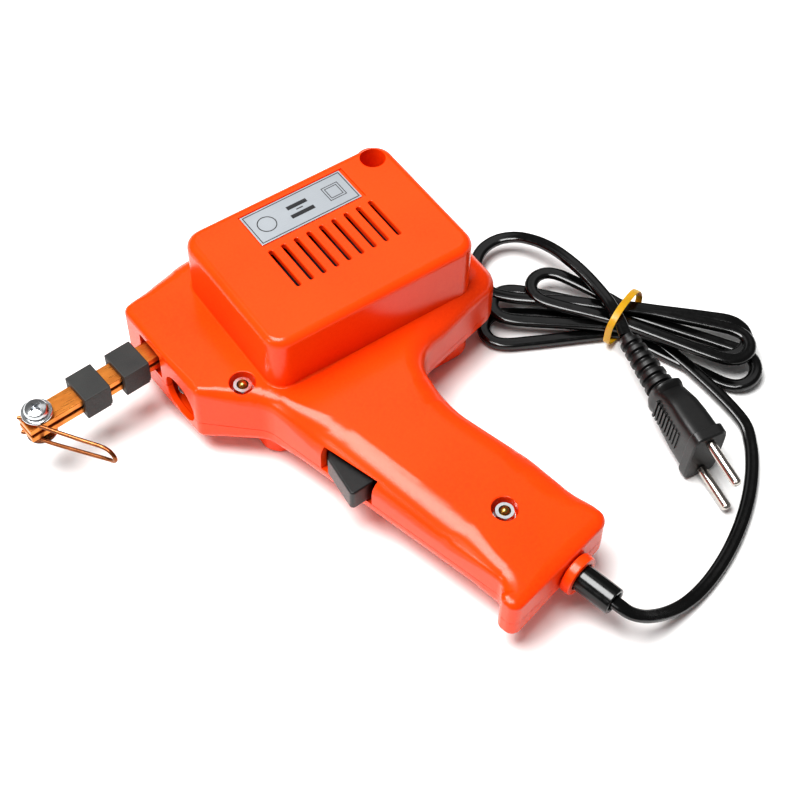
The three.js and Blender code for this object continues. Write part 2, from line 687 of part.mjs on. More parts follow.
// ---------------------------------------------------------------- mains cord
// The flat cord leaves the sleeve, comes down to the floor and runs to the hank.
const CORD_TO_HANK = [
  [23.5, -136.2, 20], [25.6, -145.5, 20], [27.6, -154.6, 20], [29.6, -163.4, 20], [31.6, -172.4, 20],
  [32.9, -177.8, 19.8], [35, -181.8, 18], [39.4, -184.6, 14.8], [46, -186, 10.6], [53.4, -186.4, 6.8],
  [61, -186, 4], [69, -184.8, 2.9], [78, -182.4, 2.5], [88, -178.6, 2.5], [98, -173.6, 2.5],
  [108, -167.4, 2.5], [117, -160.4, 2.5], [125, -152.6, 2.5], [131.4, -144.4, 2.6], [135.4, -135, 3.8],
  [136.2, -131.6, 4.2],
];
// From the hank's other end the cord bows round, climbs over the hank and enters the plug's sleeve.
const CORD_TO_PLUG = [
  [90, -21.6, 7], [91.2, -15.4, 7], [95.6, -9, 7.2], [102, -5.4, 7.6], [109.6, -5.4, 8.4],
  [116, -9.6, 10], [120, -17, 12.2], [122.2, -25.6, 14.2], [123.4, -35, 15.3], [124, -45, 15.6],
  [123.8, -55, 15.8], [122.6, -64, 16.2], [119.4, -73.6, 17.7], [115.2, -83.3, 18.7],
];
const HANK = { z0: 1.8, z1: 13, edge: 3 };
const HANK_OUTLINE = [
  [121.2, -69.9, 3], [127, -104, 20], [136, -131, 12], [162, -131, 12], [163, -104, 20],
  [130.8, -62.1, 12], [125, -36, 14], [108, -22, 14], [84, -22, 10], [84, -50, 10], [98, -70, 12],
];
const BAND = { x: 123.4, y: -68, turn: 0.675, halfWidth: 14.6, z0: 0.3, z1: 21, thickness: 1.2, length: 4.6 };
const PLUG = { x: 105.2, y: -144.4, z: 14.6, heading: -99.2, dip: 4, length: 61 };
const PIN = { across: 4, length: 20, apart: 18.6 };

// A flattened oval, thin way first, so that the cord lies flat on the floor.
function cordSection() {
  const half = CORD.thickness / 2;
  const straight = (CORD.width - CORD.thickness) / 2;
  return Array.from({ length: 10 }, (_, i) => {
    const angle = (2 * Math.PI * (i + 0.5)) / 10;
    const side = Math.sin(angle);
    return [half * Math.cos(angle), half * side + straight * Math.sign(side)];
  });
}

function cordTube(name, route, steps) {
  return mesh(name, tube(route, cordSection(), steps), blackRubber);
}

// The outer shape of the cord folded back and forth and tied at the waist.
function cordHank() {
  return mesh('cord_hank', slab(HANK_OUTLINE, HANK.z0, HANK.z1, HANK.edge), blackRubber);
}

function rubberBand() {
  const { x, y, turn, halfWidth, z0, z1, thickness, length } = BAND;
  const outer = rectangle({ x0: -halfWidth, x1: halfWidth, y0: z0, y1: z1, r: 3 });
  const half = length / 2;
  const ring = cut(solid(slab(outer, -half, half)), slab(inset(outer, thickness), -length, length));
  const band = mesh('rubber_band', geometryOf(ring).rotateX(Math.PI / 2), ochreRubber);
  band.position.set(x, y, 0);
  band.rotation.z = turn;
  return band;
}

// The plug's own axes: X out along the pins, Z across them, origin in the middle of its face.
function plugBody() {
  const side = [
    [0, 14.4, 1], [-4.5, 14.4, 1], [-4.5, 12.4, 0.5], [-20, 11.6, 6], [-31, 7, 6], [-37, 6.4, 1],
    [-37, -6.4, 1], [-31, -7, 6], [-20, -11.6, 6], [-4.5, -12.4, 0.5], [-4.5, -14.4, 1], [0, -14.4, 1],
  ];
  const grip = slab(side, -7.5, 7.5, 0.7).rotateX(Math.PI / 2);
  const profile = [[0, -PLUG.length], [4.2, -PLUG.length], [6, -36], [6, -30], [0, -30]];
  const sleeve = new THREE.LatheGeometry(profile.map(([r, z]) => new THREE.Vector2(r, z)), 16);
  return mesh('plug_body', joined(grip, sleeve.rotateZ(-Math.PI / 2)), blackRubber);
}

function plugPin(name, z) {
  const radius = PIN.across / 2;
  const profile = [[0, GAP], [radius, GAP], [radius, PIN.length - 1], [1.4, PIN.length], [0, PIN.length]];
  const points = profile.map(([r, along]) => new THREE.Vector2(r, along));
  const pin = mesh(name, new THREE.LatheGeometry(points, 16).rotateZ(-Math.PI / 2), zinc);
  pin.position.z = z;
  return pin;
}

function plugGroup() {
  const group = new THREE.Group();
  const { degToRad } = THREE.MathUtils;
  group.position.set(PLUG.x, PLUG.y, PLUG.z);
  group.rotation.set(0, degToRad(PLUG.dip), degToRad(PLUG.heading), 'ZYX');
  group.add(plugBody(), plugPin('plug_pin_1', PIN.apart / 2), plugPin('plug_pin_2', -PIN.apart / 2));
  return group;
}

// ---------------------------------------------------------------- assembly
const gun = new THREE.Group();
const hollow = hollowCase();
gun.add(
  upperShell(hollow),
  lowerShell(hollow),
  nameplate(),
  ...BOLTS.flatMap((bolt) => [caseBolt(bolt), caseNut(bolt), caseWasher(bolt)]),
  coreE(),
  coreI(),
  bobbin(),
  primaryWinding(),
  secondaryBar('upper_bar', 37, BAR.upperZ),
  secondaryBar('lower_bar', 7, BAR.lowerZ),
  loopBridge(),
  noseGroup(),
  lampBulb(),
  lampHolder(),
  trigger(),
  triggerPin(),
  switchBody(),
  switchPlunger(),
  switchSpring(),
  cableGland(),
  strainRelief(),
  cableClamp(),
  ...clampScrews(),
  ...leads(),
);


const cord = new THREE.Group();
cord.add(
  cordTube('cord_to_hank', CORD_TO_HANK, 44),
  cordTube('cord_to_plug', CORD_TO_PLUG, 36),
  cordHank(),
  rubberBand(),
  plugGroup(),
);

const solderingGun = new THREE.Group();
solderingGun.position.set(-FOOTPRINT_CENTRE.x, -FOOTPRINT_CENTRE.y, 0);
solderingGun.add(gun, cord);

export default solderingGun;
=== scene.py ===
"""Looks of a transformer soldering gun with its tied mains cord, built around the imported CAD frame.

Everything is drawn in millimetres in the gun's drawing frame, whose origin is the blind end of the first
cooling slot, and is brought into the frame's metres when a piece is finished.
"""
import logging
import math
from dataclasses import dataclass
from enum import Enum
from typing import Callable, Iterable, Sequence

import bpy
import numpy as np
from mathutils import Matrix, Vector


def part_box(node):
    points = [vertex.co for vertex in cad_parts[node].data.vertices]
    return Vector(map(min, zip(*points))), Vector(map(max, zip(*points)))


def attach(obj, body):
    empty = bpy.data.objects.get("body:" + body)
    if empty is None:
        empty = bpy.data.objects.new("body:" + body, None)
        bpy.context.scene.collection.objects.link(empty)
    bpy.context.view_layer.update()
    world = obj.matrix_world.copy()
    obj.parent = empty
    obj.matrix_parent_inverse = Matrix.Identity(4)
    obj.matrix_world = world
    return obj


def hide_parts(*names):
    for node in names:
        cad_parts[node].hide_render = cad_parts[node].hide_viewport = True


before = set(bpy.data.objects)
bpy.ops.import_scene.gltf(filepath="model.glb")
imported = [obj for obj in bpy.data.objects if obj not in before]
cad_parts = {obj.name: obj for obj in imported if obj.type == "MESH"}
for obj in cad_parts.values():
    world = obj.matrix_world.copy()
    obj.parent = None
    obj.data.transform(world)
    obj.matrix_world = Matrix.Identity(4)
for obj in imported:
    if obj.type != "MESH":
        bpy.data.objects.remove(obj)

LOG = logging.getLogger("soldering_gun")
MM = 0.001
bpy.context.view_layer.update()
Point = Sequence[float]

# The case's far corner, in the drawing frame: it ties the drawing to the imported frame.
CASE_MAX_X = 81.0
CASE_MAX_Y = 38.0
CASE_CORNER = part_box("upper_shell")[1]
ORIGIN = Vector((CASE_MAX_X - CASE_CORNER.x / MM, CASE_MAX_Y - CASE_CORNER.y / MM, 0.0))


# ------------------------------------------------------------------ small tools
def to_row(x: float, y: float, z: float) -> Vector:
    """Return a drawing-frame point, in millimetres, as a row-frame point in metres."""
    return (Vector((x, y, z)) - ORIGIN) * MM


def deselect() -> None:
    """Leave nothing selected, so that an operator acts on the new primitive alone."""
    if bpy.context.object and bpy.context.object.mode != "OBJECT":
        bpy.ops.object.mode_set(mode="OBJECT")
    bpy.ops.object.select_all(action="DESELECT")


def activate(obj: bpy.types.Object) -> None:
    """Make one object the only selected one and the active one."""
    deselect()
    obj.select_set(True)
    bpy.context.view_layer.objects.active = obj


def in_edit_mode(obj: bpy.types.Object, *steps: Callable[[], object]) -> None:
    """Run mesh operators in edit mode with everything selected before the first."""
    activate(obj)
    bpy.ops.object.mode_set(mode="EDIT")
    bpy.ops.mesh.select_mode(type="VERT")
    bpy.ops.mesh.select_all(action="SELECT")
    for step in steps:
        step()
    bpy.ops.object.mode_set(mode="OBJECT")


def apply_modifier(obj: bpy.types.Object, kind: str, **settings: object) -> None:
    """Add one modifier with its settings and apply it."""
    activate(obj)
    modifier = obj.modifiers.new(kind.title(), kind)
    for name, value in settings.items():
        setattr(modifier, name, value)
    bpy.ops.object.modifier_apply(modifier=modifier.name)


def bevel(obj: bpy.types.Object, width: float, segments: int = 3, angle: float = 40.0) -> None:
    """Round every edge sharper than an angle in degrees."""
    apply_modifier(obj, "BEVEL", width=width, segments=segments, limit_method="ANGLE",
                   angle_limit=math.radians(angle), use_clamp_overlap=True)


def combine(target: bpy.types.Object, tool: bpy.types.Object, operation: str) -> bpy.types.Object:
    """Join or cut one closed mesh with another, which is used up.

    Args:
        target: The mesh that is kept.
        tool: The mesh that is used up.
        operation: UNION, DIFFERENCE or INTERSECT.

    Returns:
        The kept mesh.
    """
    apply_modifier(target, "BOOLEAN", object=tool, operation=operation, solver="EXACT")
    bpy.data.objects.remove(tool, do_unlink=True)
    return target


def smooth(obj: bpy.types.Object, angle: float = 35.0) -> None:
    """Shade smoothly across edges flatter than an angle, with flat faces kept flat."""
    activate(obj)
    bpy.ops.object.shade_smooth_by_angle(angle=math.radians(angle))
    apply_modifier(obj, "WEIGHTED_NORMAL", keep_sharp=True, mode="FACE_AREA_WITH_ANGLE", weight=80)


def loft(name: str, rings: Sequence[np.ndarray], closed_ends: bool = True) -> bpy.types.Object:
    """Skin a stack of rings that have equal numbers of points.

    Args:
        name: The new object's name.
        rings: Arrays of points, one a ring, all running the same way round.
        closed_ends: Whether the first and last rings get a face.

    Returns:
        The new mesh object.
    """
    around = len(rings[0])
    deselect()
    bpy.ops.mesh.primitive_grid_add(x_subdivisions=around, y_subdivisions=len(rings) - 1, size=1)
    obj = bpy.context.object
    obj.name = name
    points = np.concatenate([np.concatenate([ring, ring[:1]]) for ring in rings])
    obj.data.vertices.foreach_set("co", np.asarray(points, dtype=np.float32).ravel())
    obj.data.update()
    steps = [lambda: bpy.ops.mesh.remove_doubles(threshold=1e-4)]
    if closed_ends:
        steps.append(lambda: bpy.ops.mesh.fill_holes(sides=0))
    steps += [
        lambda: bpy.ops.mesh.select_all(action="SELECT"),
        lambda: bpy.ops.mesh.normals_make_consistent(inside=False),
    ]
    in_edit_mode(obj, *steps)
    return obj


def lathe(name: str, profile: Sequence[tuple[float, float]], sides: int = 48) -> bpy.types.Object:
    """Turn a profile of (radius, height) points about Z. Zero radii close into a pole."""
    angles = np.linspace(0, 2 * math.pi, sides, endpoint=False)
    rings = []
    for radius, height in profile:
        radius = max(radius, 1e-3)
        rings.append(np.stack([radius * np.cos(angles), radius * np.sin(angles),
                               np.full(sides, height)], axis=1))
    return loft(name, rings)


def prism(name: str, outline: Sequence[tuple[float, float]], z0: float, z1: float) -> bpy.types.Object:
    """Raise a plan outline between two heights."""
    plan = np.array(outline, dtype=float)
    rings = [np.column_stack([plan, np.full(len(plan), z)]) for z in (z0, z1)]
    return loft(name, rings)


def block(name: str, low: Point, high: Point) -> bpy.types.Object:
    """Raise a rectangle between two corners."""
    outline = [(low[0], low[1]), (high[0], low[1]), (high[0], high[1]), (low[0], high[1])]
    return prism(name, outline, low[2], high[2])


def turned(obj: bpy.types.Object, matrix: Matrix) -> bpy.types.Object:
    """Move a piece's mesh by a matrix and return the piece."""
    obj.data.transform(matrix)
    obj.data.update()
    return obj


def along_direction(origin: Point, direction: Point) -> Matrix:
    """Return the matrix that brings +Z onto a direction and the origin onto a point."""
    turn = Vector(direction).to_track_quat("Z", "Y").to_matrix().to_4x4()
    return Matrix.Translation(Vector(origin)) @ turn


def smoothstep(t: np.ndarray | float) -> np.ndarray | float:
    """Ease from 0 to 1."""
    t = np.clip(t, 0.0, 1.0)
    return t * t * (3 - 2 * t)


def spline(points: Sequence[Point], spacing: float) -> np.ndarray:
    """Run a centripetal Catmull-Rom curve through points and return even points along it."""
    p = np.array(points, dtype=float)
    p = np.vstack([2 * p[0] - p[1], p, 2 * p[-1] - p[-2]])
    dense = []
    for a, b, c, d in zip(p, p[1:], p[2:], p[3:]):
        knots = np.cumsum([0] + [max(np.linalg.norm(v) ** 0.5, 1e-6) for v in (b - a, c - b, d - c)])
        for t in np.linspace(knots[1], knots[2], 24, endpoint=False):
            l0 = ((knots[1] - t) * a + (t - knots[0]) * b) / (knots[1] - knots[0])
            l1 = ((knots[2] - t) * b + (t - knots[1]) * c) / (knots[2] - knots[1])
            l2 = ((knots[3] - t) * c + (t - knots[2]) * d) / (knots[3] - knots[2])
            m0 = ((knots[2] - t) * l0 + (t - knots[0]) * l1) / (knots[2] - knots[0])
            m1 = ((knots[3] - t) * l1 + (t - knots[1]) * l2) / (knots[3] - knots[1])
            dense.append(((knots[2] - t) * m0 + (t - knots[1]) * m1) / (knots[2] - knots[1]))
    dense.append(p[-2])
    dense = np.array(dense)
    reach = np.concatenate([[0], np.cumsum(np.linalg.norm(np.diff(dense, axis=0), axis=1))])
    steps = np.linspace(0, reach[-1], max(int(reach[-1] / spacing), 2) + 1)
    return np.column_stack([np.interp(steps, reach, dense[:, i]) for i in range(3)])


def sweep(name: str, path: np.ndarray, section: np.ndarray, flat: bool = True) -> bpy.types.Object:
    """Carry a section, given as (across, up) points, along a path.

    Args:
        name: The new object's name.
        path: Points along the centre line.
        section: The section's points, anticlockwise.
        flat: Whether the section's across direction stays level.

    Returns:
        The new mesh object.
    """
    tangents = np.gradient(path, axis=0)
    tangents /= np.linalg.norm(tangents, axis=1)[:, None]
    across = np.cross([0, 0, 1], tangents[0])
    rings = []
    for point, tangent in zip(path, tangents):
        if flat:
            across = np.cross([0, 0, 1], tangent)
        across = across - tangent * np.dot(across, tangent)
        across /= np.linalg.norm(across)
        up = np.cross(tangent, across)
        rings.append(point + section[:, :1] * across + section[:, 1:] * up)
    return loft(name, rings)


def disc(radius: float, sides: int = 16) -> np.ndarray:
    """Return a round section."""
    angles = np.linspace(0, 2 * math.pi, sides, endpoint=False)
    return np.column_stack([radius * np.cos(angles), radius * np.sin(angles)])


# ------------------------------------------------------------------ finishes
def linear(colour: str, alpha: float = 1.0) -> tuple[float, float, float, float]:
    """Turn an sRGB hex value into Blender's linear colour."""
    channels = [int(colour[i:i + 2], 16) / 255 for i in (1, 3, 5)]
    values = [c / 12.92 if c <= 0.04045 else ((c + 0.055) / 1.055) ** 2.4 for c in channels]
    return (*values, alpha)


def add_node(tree: bpy.types.NodeTree, kind: str, links: dict | None = None,
             **settings: object) -> bpy.types.Node:
    """Add a node, set its properties and sockets, and link its inputs.

    Args:
        tree: The node tree.
        kind: The node's type.
        links: Input socket name or index to the output socket that feeds it.
        settings: Properties, or constants of inputs whose names start with in_.

    Returns:
        The new node.
    """
    node = tree.nodes.new(kind)
    for name, value in settings.items():
        if name.startswith("in_"):
            key = name[3:].replace("_", " ")
            node.inputs[int(key) if key.isdigit() else key].default_value = value
        else:
            setattr(node, name, value)
    for socket, source in (links or {}).items():
        tree.links.new(source, node.inputs[socket])
    return node


class Grain(Enum):
    """How a surface's fine marks lie."""

    EVEN = (1.0, 1.0, 1.0)
    ALONG_X = (0.06, 1.0, 1.0)
    ALONG_Y = (1.0, 0.06, 1.0)
    ACROSS_Z = (1.0, 1.0, 18.0)


@dataclass(frozen=True)
class Finish:
    """A moulded, drawn or plated surface with blotches, fine grain and small bumps.

    Attributes:
        name: The material's name.
        slot: The name of the material slot that it stands for; not used.
        colour: Main colour, as sRGB hex.
        second: Colour of its blotches and grain.
        roughness: Lowest and highest roughness.
        metallic: 0 for plastic and rubber, 1 for metal.
        grain_mm: Size of the fine grain.
        bump_mm: Height of the fine grain.
        blotch_mm: Size of the colour variation.
        mix: How much of the second colour shows.
        grain: How the grain lies.
        ior: Index of refraction, for a non-metal.
        subsurface: Weight of light carried under the skin.
        transmission: Weight of light passed through.
        turn: Turn of the grain about Z, in radians.
        specular: Share of the mirror reflection that the skin keeps, 0.5 for all of it.
    """

    name: str
    slot: str
    colour: str
    second: str
    roughness: tuple[float, float]
    metallic: float = 0.0
    grain_mm: float = 0.4
    bump_mm: float = 0.01
    blotch_mm: float = 25.0
    mix: float = 0.5
    grain: Grain = Grain.EVEN
    ior: float = 1.5
    subsurface: float = 0.0
    transmission: float = 0.0
    turn: float = 0.0
    specular: float = 0.5

    def material(self) -> bpy.types.Material:
        """Return the material, which is made on first use."""
        known = bpy.data.materials.get(self.name)
        if known:
            return known
        material = bpy.data.materials.new(self.name)
        material.use_nodes = True
        tree = material.node_tree
        tree.nodes.clear()
        place = add_node(tree, "ShaderNodeTexCoord").outputs["Object"]
        lay = add_node(tree, "ShaderNodeMapping", {"Vector": place}, in_Scale=self.grain.value,
                       in_Rotation=(0, 0, -self.turn))
        fine = add_node(tree, "ShaderNodeTexNoise", {"Vector": lay.outputs[0]},
                        in_Scale=1 / (self.grain_mm * MM), in_Detail=3.0, in_Roughness=0.6)
        broad = add_node(tree, "ShaderNodeTexNoise", {"Vector": place},
                         in_Scale=1 / (self.blotch_mm * MM), in_Detail=2.0)
        both = add_node(tree, "ShaderNodeMath", {0: fine.outputs["Fac"], 1: broad.outputs["Fac"]},
                        operation="MULTIPLY")
        share = add_node(tree, "ShaderNodeMapRange", {0: both.outputs[0]},
                         in_1=0.12, in_2=0.42, in_3=0.0, in_4=self.mix)
        tint = add_node(tree, "ShaderNodeMix", {0: share.outputs[0]}, data_type="RGBA",
                        in_6=linear(self.colour), in_7=linear(self.second))
        sheen = add_node(tree, "ShaderNodeMapRange", {0: fine.outputs["Fac"]},
                         in_1=0.3, in_2=0.7, in_3=self.roughness[0], in_4=self.roughness[1])
        relief = add_node(tree, "ShaderNodeBump", {"Height": fine.outputs["Fac"]},
                          in_Strength=1.0, in_Distance=self.bump_mm * MM)
        shader = add_node(
            tree, "ShaderNodeBsdfPrincipled",
            {"Base Color": tint.outputs[2], "Roughness": sheen.outputs[0], "Normal": relief.outputs[0]},
            in_Metallic=self.metallic, in_Subsurface_Weight=self.subsurface,
            in_Transmission_Weight=self.transmission,
        )
        if not self.metallic:
            shader.inputs["IOR"].default_value = self.ior
            shader.inputs["Specular IOR Level"].default_value = self.specular
        if self.subsurface:
            shader.inputs["Subsurface Scale"].default_value = 2 * MM
        add_node(tree, "ShaderNodeOutputMaterial", {"Surface": shader.outputs[0]})
        return material


BAR_TURN = math.radians(4.4)

# ABS moulded in a polished tool: deep colour under a hard gloss, with faint flow marks.
ORANGE_ABS = Finish("orange_moulded_abs", "orange_case", "#F8490A", "#EE3C03", (0.2, 0.26), grain_mm=1.2,
                    bump_mm=0.002, blotch_mm=40, mix=0.6, ior=1.5, specular=0.3)
# The trigger is black nylon from a finely polished tool.
BLACK_NYLON = Finish("black_moulded_nylon", "black_plastic", "#0A0A0A", "#141414", (0.3, 0.42), grain_mm=0.8,
                     bump_mm=0.006, ior=1.53)
# Phenolic blocks sawn and tumbled: dull, dusty black with scratches.
PHENOLIC = Finish("black_phenolic", "black_plastic", "#0A0B0A", "#232421", (0.45, 0.7), grain_mm=0.5,
                  bump_mm=0.02, blotch_mm=9, mix=0.8, ior=1.6)
# Flexible vinyl, extruded: black with a wet-looking gloss.
CORD_VINYL = Finish("black_cord_vinyl", "black_rubber", "#050505", "#0C0C0C", (0.14, 0.24), grain_mm=2.0,
                    bump_mm=0.003, ior=1.52)
# The plug is moulded of the same vinyl in a spark-eroded tool: finely matt.
PLUG_VINYL = Finish("black_plug_vinyl", "black_rubber", "#080808", "#121110", (0.34, 0.5), grain_mm=0.35,
                    bump_mm=0.02, ior=1.53)
# Drawn copper strip, its scratches along its length and a warm bloom of oxide.
COPPER = Finish("drawn_copper", "copper", "#E8964A", "#B8652C", (0.24, 0.42), 1.0, grain_mm=0.35,
                bump_mm=0.012, blotch_mm=7, mix=0.8, grain=Grain.ALONG_X, turn=BAR_TURN)
COPPER_WIRE = Finish("drawn_copper_wire", "copper", "#A86A42", "#5E3520", (0.25, 0.45), 1.0, grain_mm=0.5,
                     bump_mm=0.01, blotch_mm=5, mix=0.8)
# Bright zinc plate on turned steel.
ZINC = Finish("bright_zinc_plate", "zinc", "#E2E4E6", "#B9BCBF", (0.14, 0.26), 1.0, grain_mm=0.8,
              bump_mm=0.0015, blotch_mm=4)
NICKEL = Finish("nickel_plated_pin", "zinc", "#C9C3BC", "#8E8A85", (0.1, 0.22), 1.0, grain_mm=0.6,
                bump_mm=0.004, blotch_mm=8)
BRASS = Finish("turned_brass", "brass", "#C8A85C", "#7E6428", (0.22, 0.4), 1.0, grain_mm=0.3,
               bump_mm=0.01, blotch_mm=2.5)
# Rolled aluminium foil, printed.
FOIL = Finish("satin_foil", "foil", "#C7CCD1", "#AEB3B9", (0.3, 0.5), 0.9, grain_mm=0.25, bump_mm=0.006,
              grain=Grain.ALONG_X)
PRINT_INK = Finish("black_print_ink", "foil", "#1A1A1D", "#2C2C30", (0.5, 0.7), grain_mm=0.3)
# Stacked sheet steel with varnish: fine lines across the stack.
LAMINATIONS = Finish("varnished_laminations", "laminations", "#4B4D50", "#2A2622", (0.35, 0.6), 0.8,
                     grain_mm=6.0, bump_mm=0.08, grain=Grain.ACROSS_Z)
CARD = Finish("pressed_card", "bobbin_card", "#D8CFB8", "#BFAE8C", (0.6, 0.8), grain_mm=0.6, bump_mm=0.03)
ENAMEL = Finish("enamelled_winding", "winding", "#8A3A1A", "#B5622E", (0.25, 0.45), 0.5, grain_mm=8.0,
                bump_mm=0.25, grain=Grain.ACROSS_Z)
GLASS = Finish("clear_bulb_glass", "glass", "#FFFFFF", "#F4F6F4", (0.02, 0.05), grain_mm=2, bump_mm=0.001,
               ior=1.5, transmission=1.0)
BAND_RUBBER = Finish("latex_band", "band_rubber", "#C99A12", "#9C7408", (0.35, 0.5), grain_mm=0.7,
                     bump_mm=0.02, blotch_mm=6, ior=1.52, subsurface=0.35)
BROWN_VINYL = Finish("brown_lead_vinyl", "brown_vinyl", "#6A3B20", "#55301A", (0.3, 0.4))
BLUE_VINYL = Finish("blue_lead_vinyl", "blue_vinyl", "#2A5FB0", "#204C90", (0.3, 0.4))

CAD_FINISHES = {
    "core_e": LAMINATIONS, "core_i": LAMINATIONS, "bobbin": CARD, "primary_winding": ENAMEL,
    "loop_bridge": COPPER, "lamp_holder": PHENOLIC, "switch_body": PHENOLIC,
    "switch_plunger": CARD, "switch_spring": ZINC, "cable_clamp": CARD, "cable_clamp_screw_1": ZINC,
    "cable_clamp_screw_2": ZINC, "lead_live": BROWN_VINYL, "lead_neutral": BLUE_VINYL,
}


def finish_piece(obj: bpy.types.Object, finish: Finish, body: str,
                 replaced: Iterable[str] = ()) -> bpy.types.Object:
    """Bring a drawn piece into the frame, dress it and hand it to its body.

    Args:
        obj: The piece, drawn in millimetres in the drawing frame.
        finish: The finish of all of it.
        body: The CAD body that it rides on.
        replaced: The CAD nodes that it stands for.

    Returns:
        The piece.
    """
    obj.data.transform(Matrix.Scale(MM, 4) @ Matrix.Translation(-ORIGIN))
    obj.data.update()
    obj.data.materials.clear()
    obj.data.materials.append(finish.material())
    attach(obj, body)
    if replaced:
        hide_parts(*replaced)
    LOG.info("%s: %d faces, rides on %s", obj.name, len(obj.data.polygons), body)
    return obj


# ------------------------------------------------------------------ the case
@dataclass(frozen=True)
class Corner:
    """One corner of the case's outline.

    Attributes:
        x: Place along the gun.
        y: Place across the gun.
        radius: Radius of the corner in plan.
        edge: Radius of the top edge at the corner.
        side_edge: Radius of the top edge along the side after it.
    """

    x: float
    y: float
    radius: float
    edge: float
    side_edge: float


HANDLE_AXIS = Vector((0.218, -0.976, 0)).normalized()
HANDLE_SIDE = Vector((0.976, 0.218, 0)).normalized()
HANDLE_END = 159.5


def handle_point(along: float, across: float) -> Vector:
    """Return a drawing point by its place along and across the handle."""
    return HANDLE_AXIS * along + HANDLE_SIDE * across


HEEL = handle_point(HANDLE_END, -39.9)
BACK_HEEL = handle_point(HANDLE_END, 14)

CASE_CORNERS = (
    Corner(-52.6, 27.5, 4, 2.6, 1.8),
    Corner(-50.3, -23.8, 4, 3.2, 5),
    Corner(-29.8, -42.6, 12, 6.5, 12.5),
    Corner(0.2, -152, 5, 6.5, 5),
    Corner(-5.2, -156.5, 3.5, 3.2, 3.2),
    Corner(HEEL.x, HEEL.y, 4, 3.6, 6),
    Corner(BACK_HEEL.x, BACK_HEEL.y, 5, 4.6, 12),
    Corner(41.5, -114, 60, 12.5, 12.5),
    Corner(31, -82, 40, 12.5, 12.5),
    Corner(30.3, -54.6, 14, 10, 8),
    Corner(81, -42, 9, 8, 8),
    Corner(81, 38, 12, 8, 8),
    Corner(-22, 38, 25, 8, 6),
)


@dataclass
class Outline:
    """A closed plan with round corners and a top-edge radius at every point.

    Attributes:
        corners: The corners, anticlockwise.
        arc_points: Points on each corner's arc.
        side_step: Longest step along a straight side.
        blend: How far the edge radius takes to change along a side.
    """

    corners: Sequence[Corner]
    arc_points: int = 13
    side_step: float = 3.0
    blend: float = 26.0

    def inset(self, distance: float) -> "Outline":
        """Return the outline with every side moved inwards."""
        places = [Vector((c.x, c.y)) for c in self.corners]
        count = len(places)
        along = [(places[(i + 1) % count] - places[i]).normalized() for i in range(count)]
        moved = []
        for i, corner in enumerate(self.corners):
            before, after = along[i - 1], along[i]
            start = places[i - 1] + Vector((-before.y, before.x)) * distance
            point = places[i] + Vector((-after.y, after.x)) * distance
            turn = before.cross(after)
            reach = (point - start).cross(after) / turn
            place = start + before * reach
            radius = max(corner.radius - math.copysign(distance, turn), 0.8)
            edge = max(corner.edge - distance, 0.4)
            moved.append(Corner(place.x, place.y, radius, edge, max(corner.side_edge - distance, 0.4)))
        return Outline(moved, self.arc_points, self.side_step, self.blend)

    def trace(self) -> tuple[np.ndarray, np.ndarray, np.ndarray]:
        """Return the points, the inward normals and the edge radii round the outline."""
        points, normals, radii = [], [], []
        arcs = [self._arc(i) for i in range(len(self.corners))]
        for i, corner in enumerate(self.corners):
            arc_points, arc_normals = arcs[i]
            points += arc_points
            normals += arc_normals
            radii += [corner.edge] * len(arc_points)
            start, end = arc_points[-1], arcs[(i + 1) % len(arcs)][0][0]
            length = (end - start).length
            steps = max(int(length / self.side_step), 1)
            next_edge = self.corners[(i + 1) % len(self.corners)].edge
            reach = min(self.blend, length / 2)
            for step in range(1, steps):
                place = length * step / steps
                points.append(start.lerp(end, step / steps))
                normals.append(arc_normals[-1])
                near, far = smoothstep(place / reach), smoothstep((length - place) / reach)
                radius = corner.side_edge
                radius += (corner.edge - corner.side_edge) * (1 - near)
                radius += (next_edge - corner.side_edge) * (1 - far)
                radii.append(radius)
        return np.array(points), np.array(normals), np.array(radii)

    def _arc(self, index: int) -> tuple[list[Vector], list[Vector]]:
        """Return the points and inward normals on one corner's arc."""
        corner = self.corners[index]
        before = self.corners[index - 1]
        after = self.corners[(index + 1) % len(self.corners)]
        place = Vector((corner.x, corner.y))
        back = (Vector((before.x, before.y)) - place).normalized()
        ahead = (Vector((after.x, after.y)) - place).normalized()
        half = math.acos(max(-1.0, min(1.0, back.dot(ahead)))) / 2
        tangent = corner.radius / math.tan(half)
        centre = place + (back + ahead).normalized() * (corner.radius / math.sin(half))
        first, last = place + back * tangent - centre, place + ahead * tangent - centre
        outward = 1 if (-back).cross(ahead) > 0 else -1
        start = math.atan2(first.y, first.x)
        sweep_angle = math.atan2(first.cross(last), first.dot(last))
        points, normals = [], []
        for i in range(self.arc_points):
            angle = start + sweep_angle * i / (self.arc_points - 1)
            ray = Vector((math.cos(angle), math.sin(angle)))
            points.append(centre + ray * corner.radius)
            normals.append(ray * -outward)
        return points, normals


class Half(Enum):
    """Which half of the case is made."""

    UPPER = "upper_shell"
    LOWER = "lower_shell"


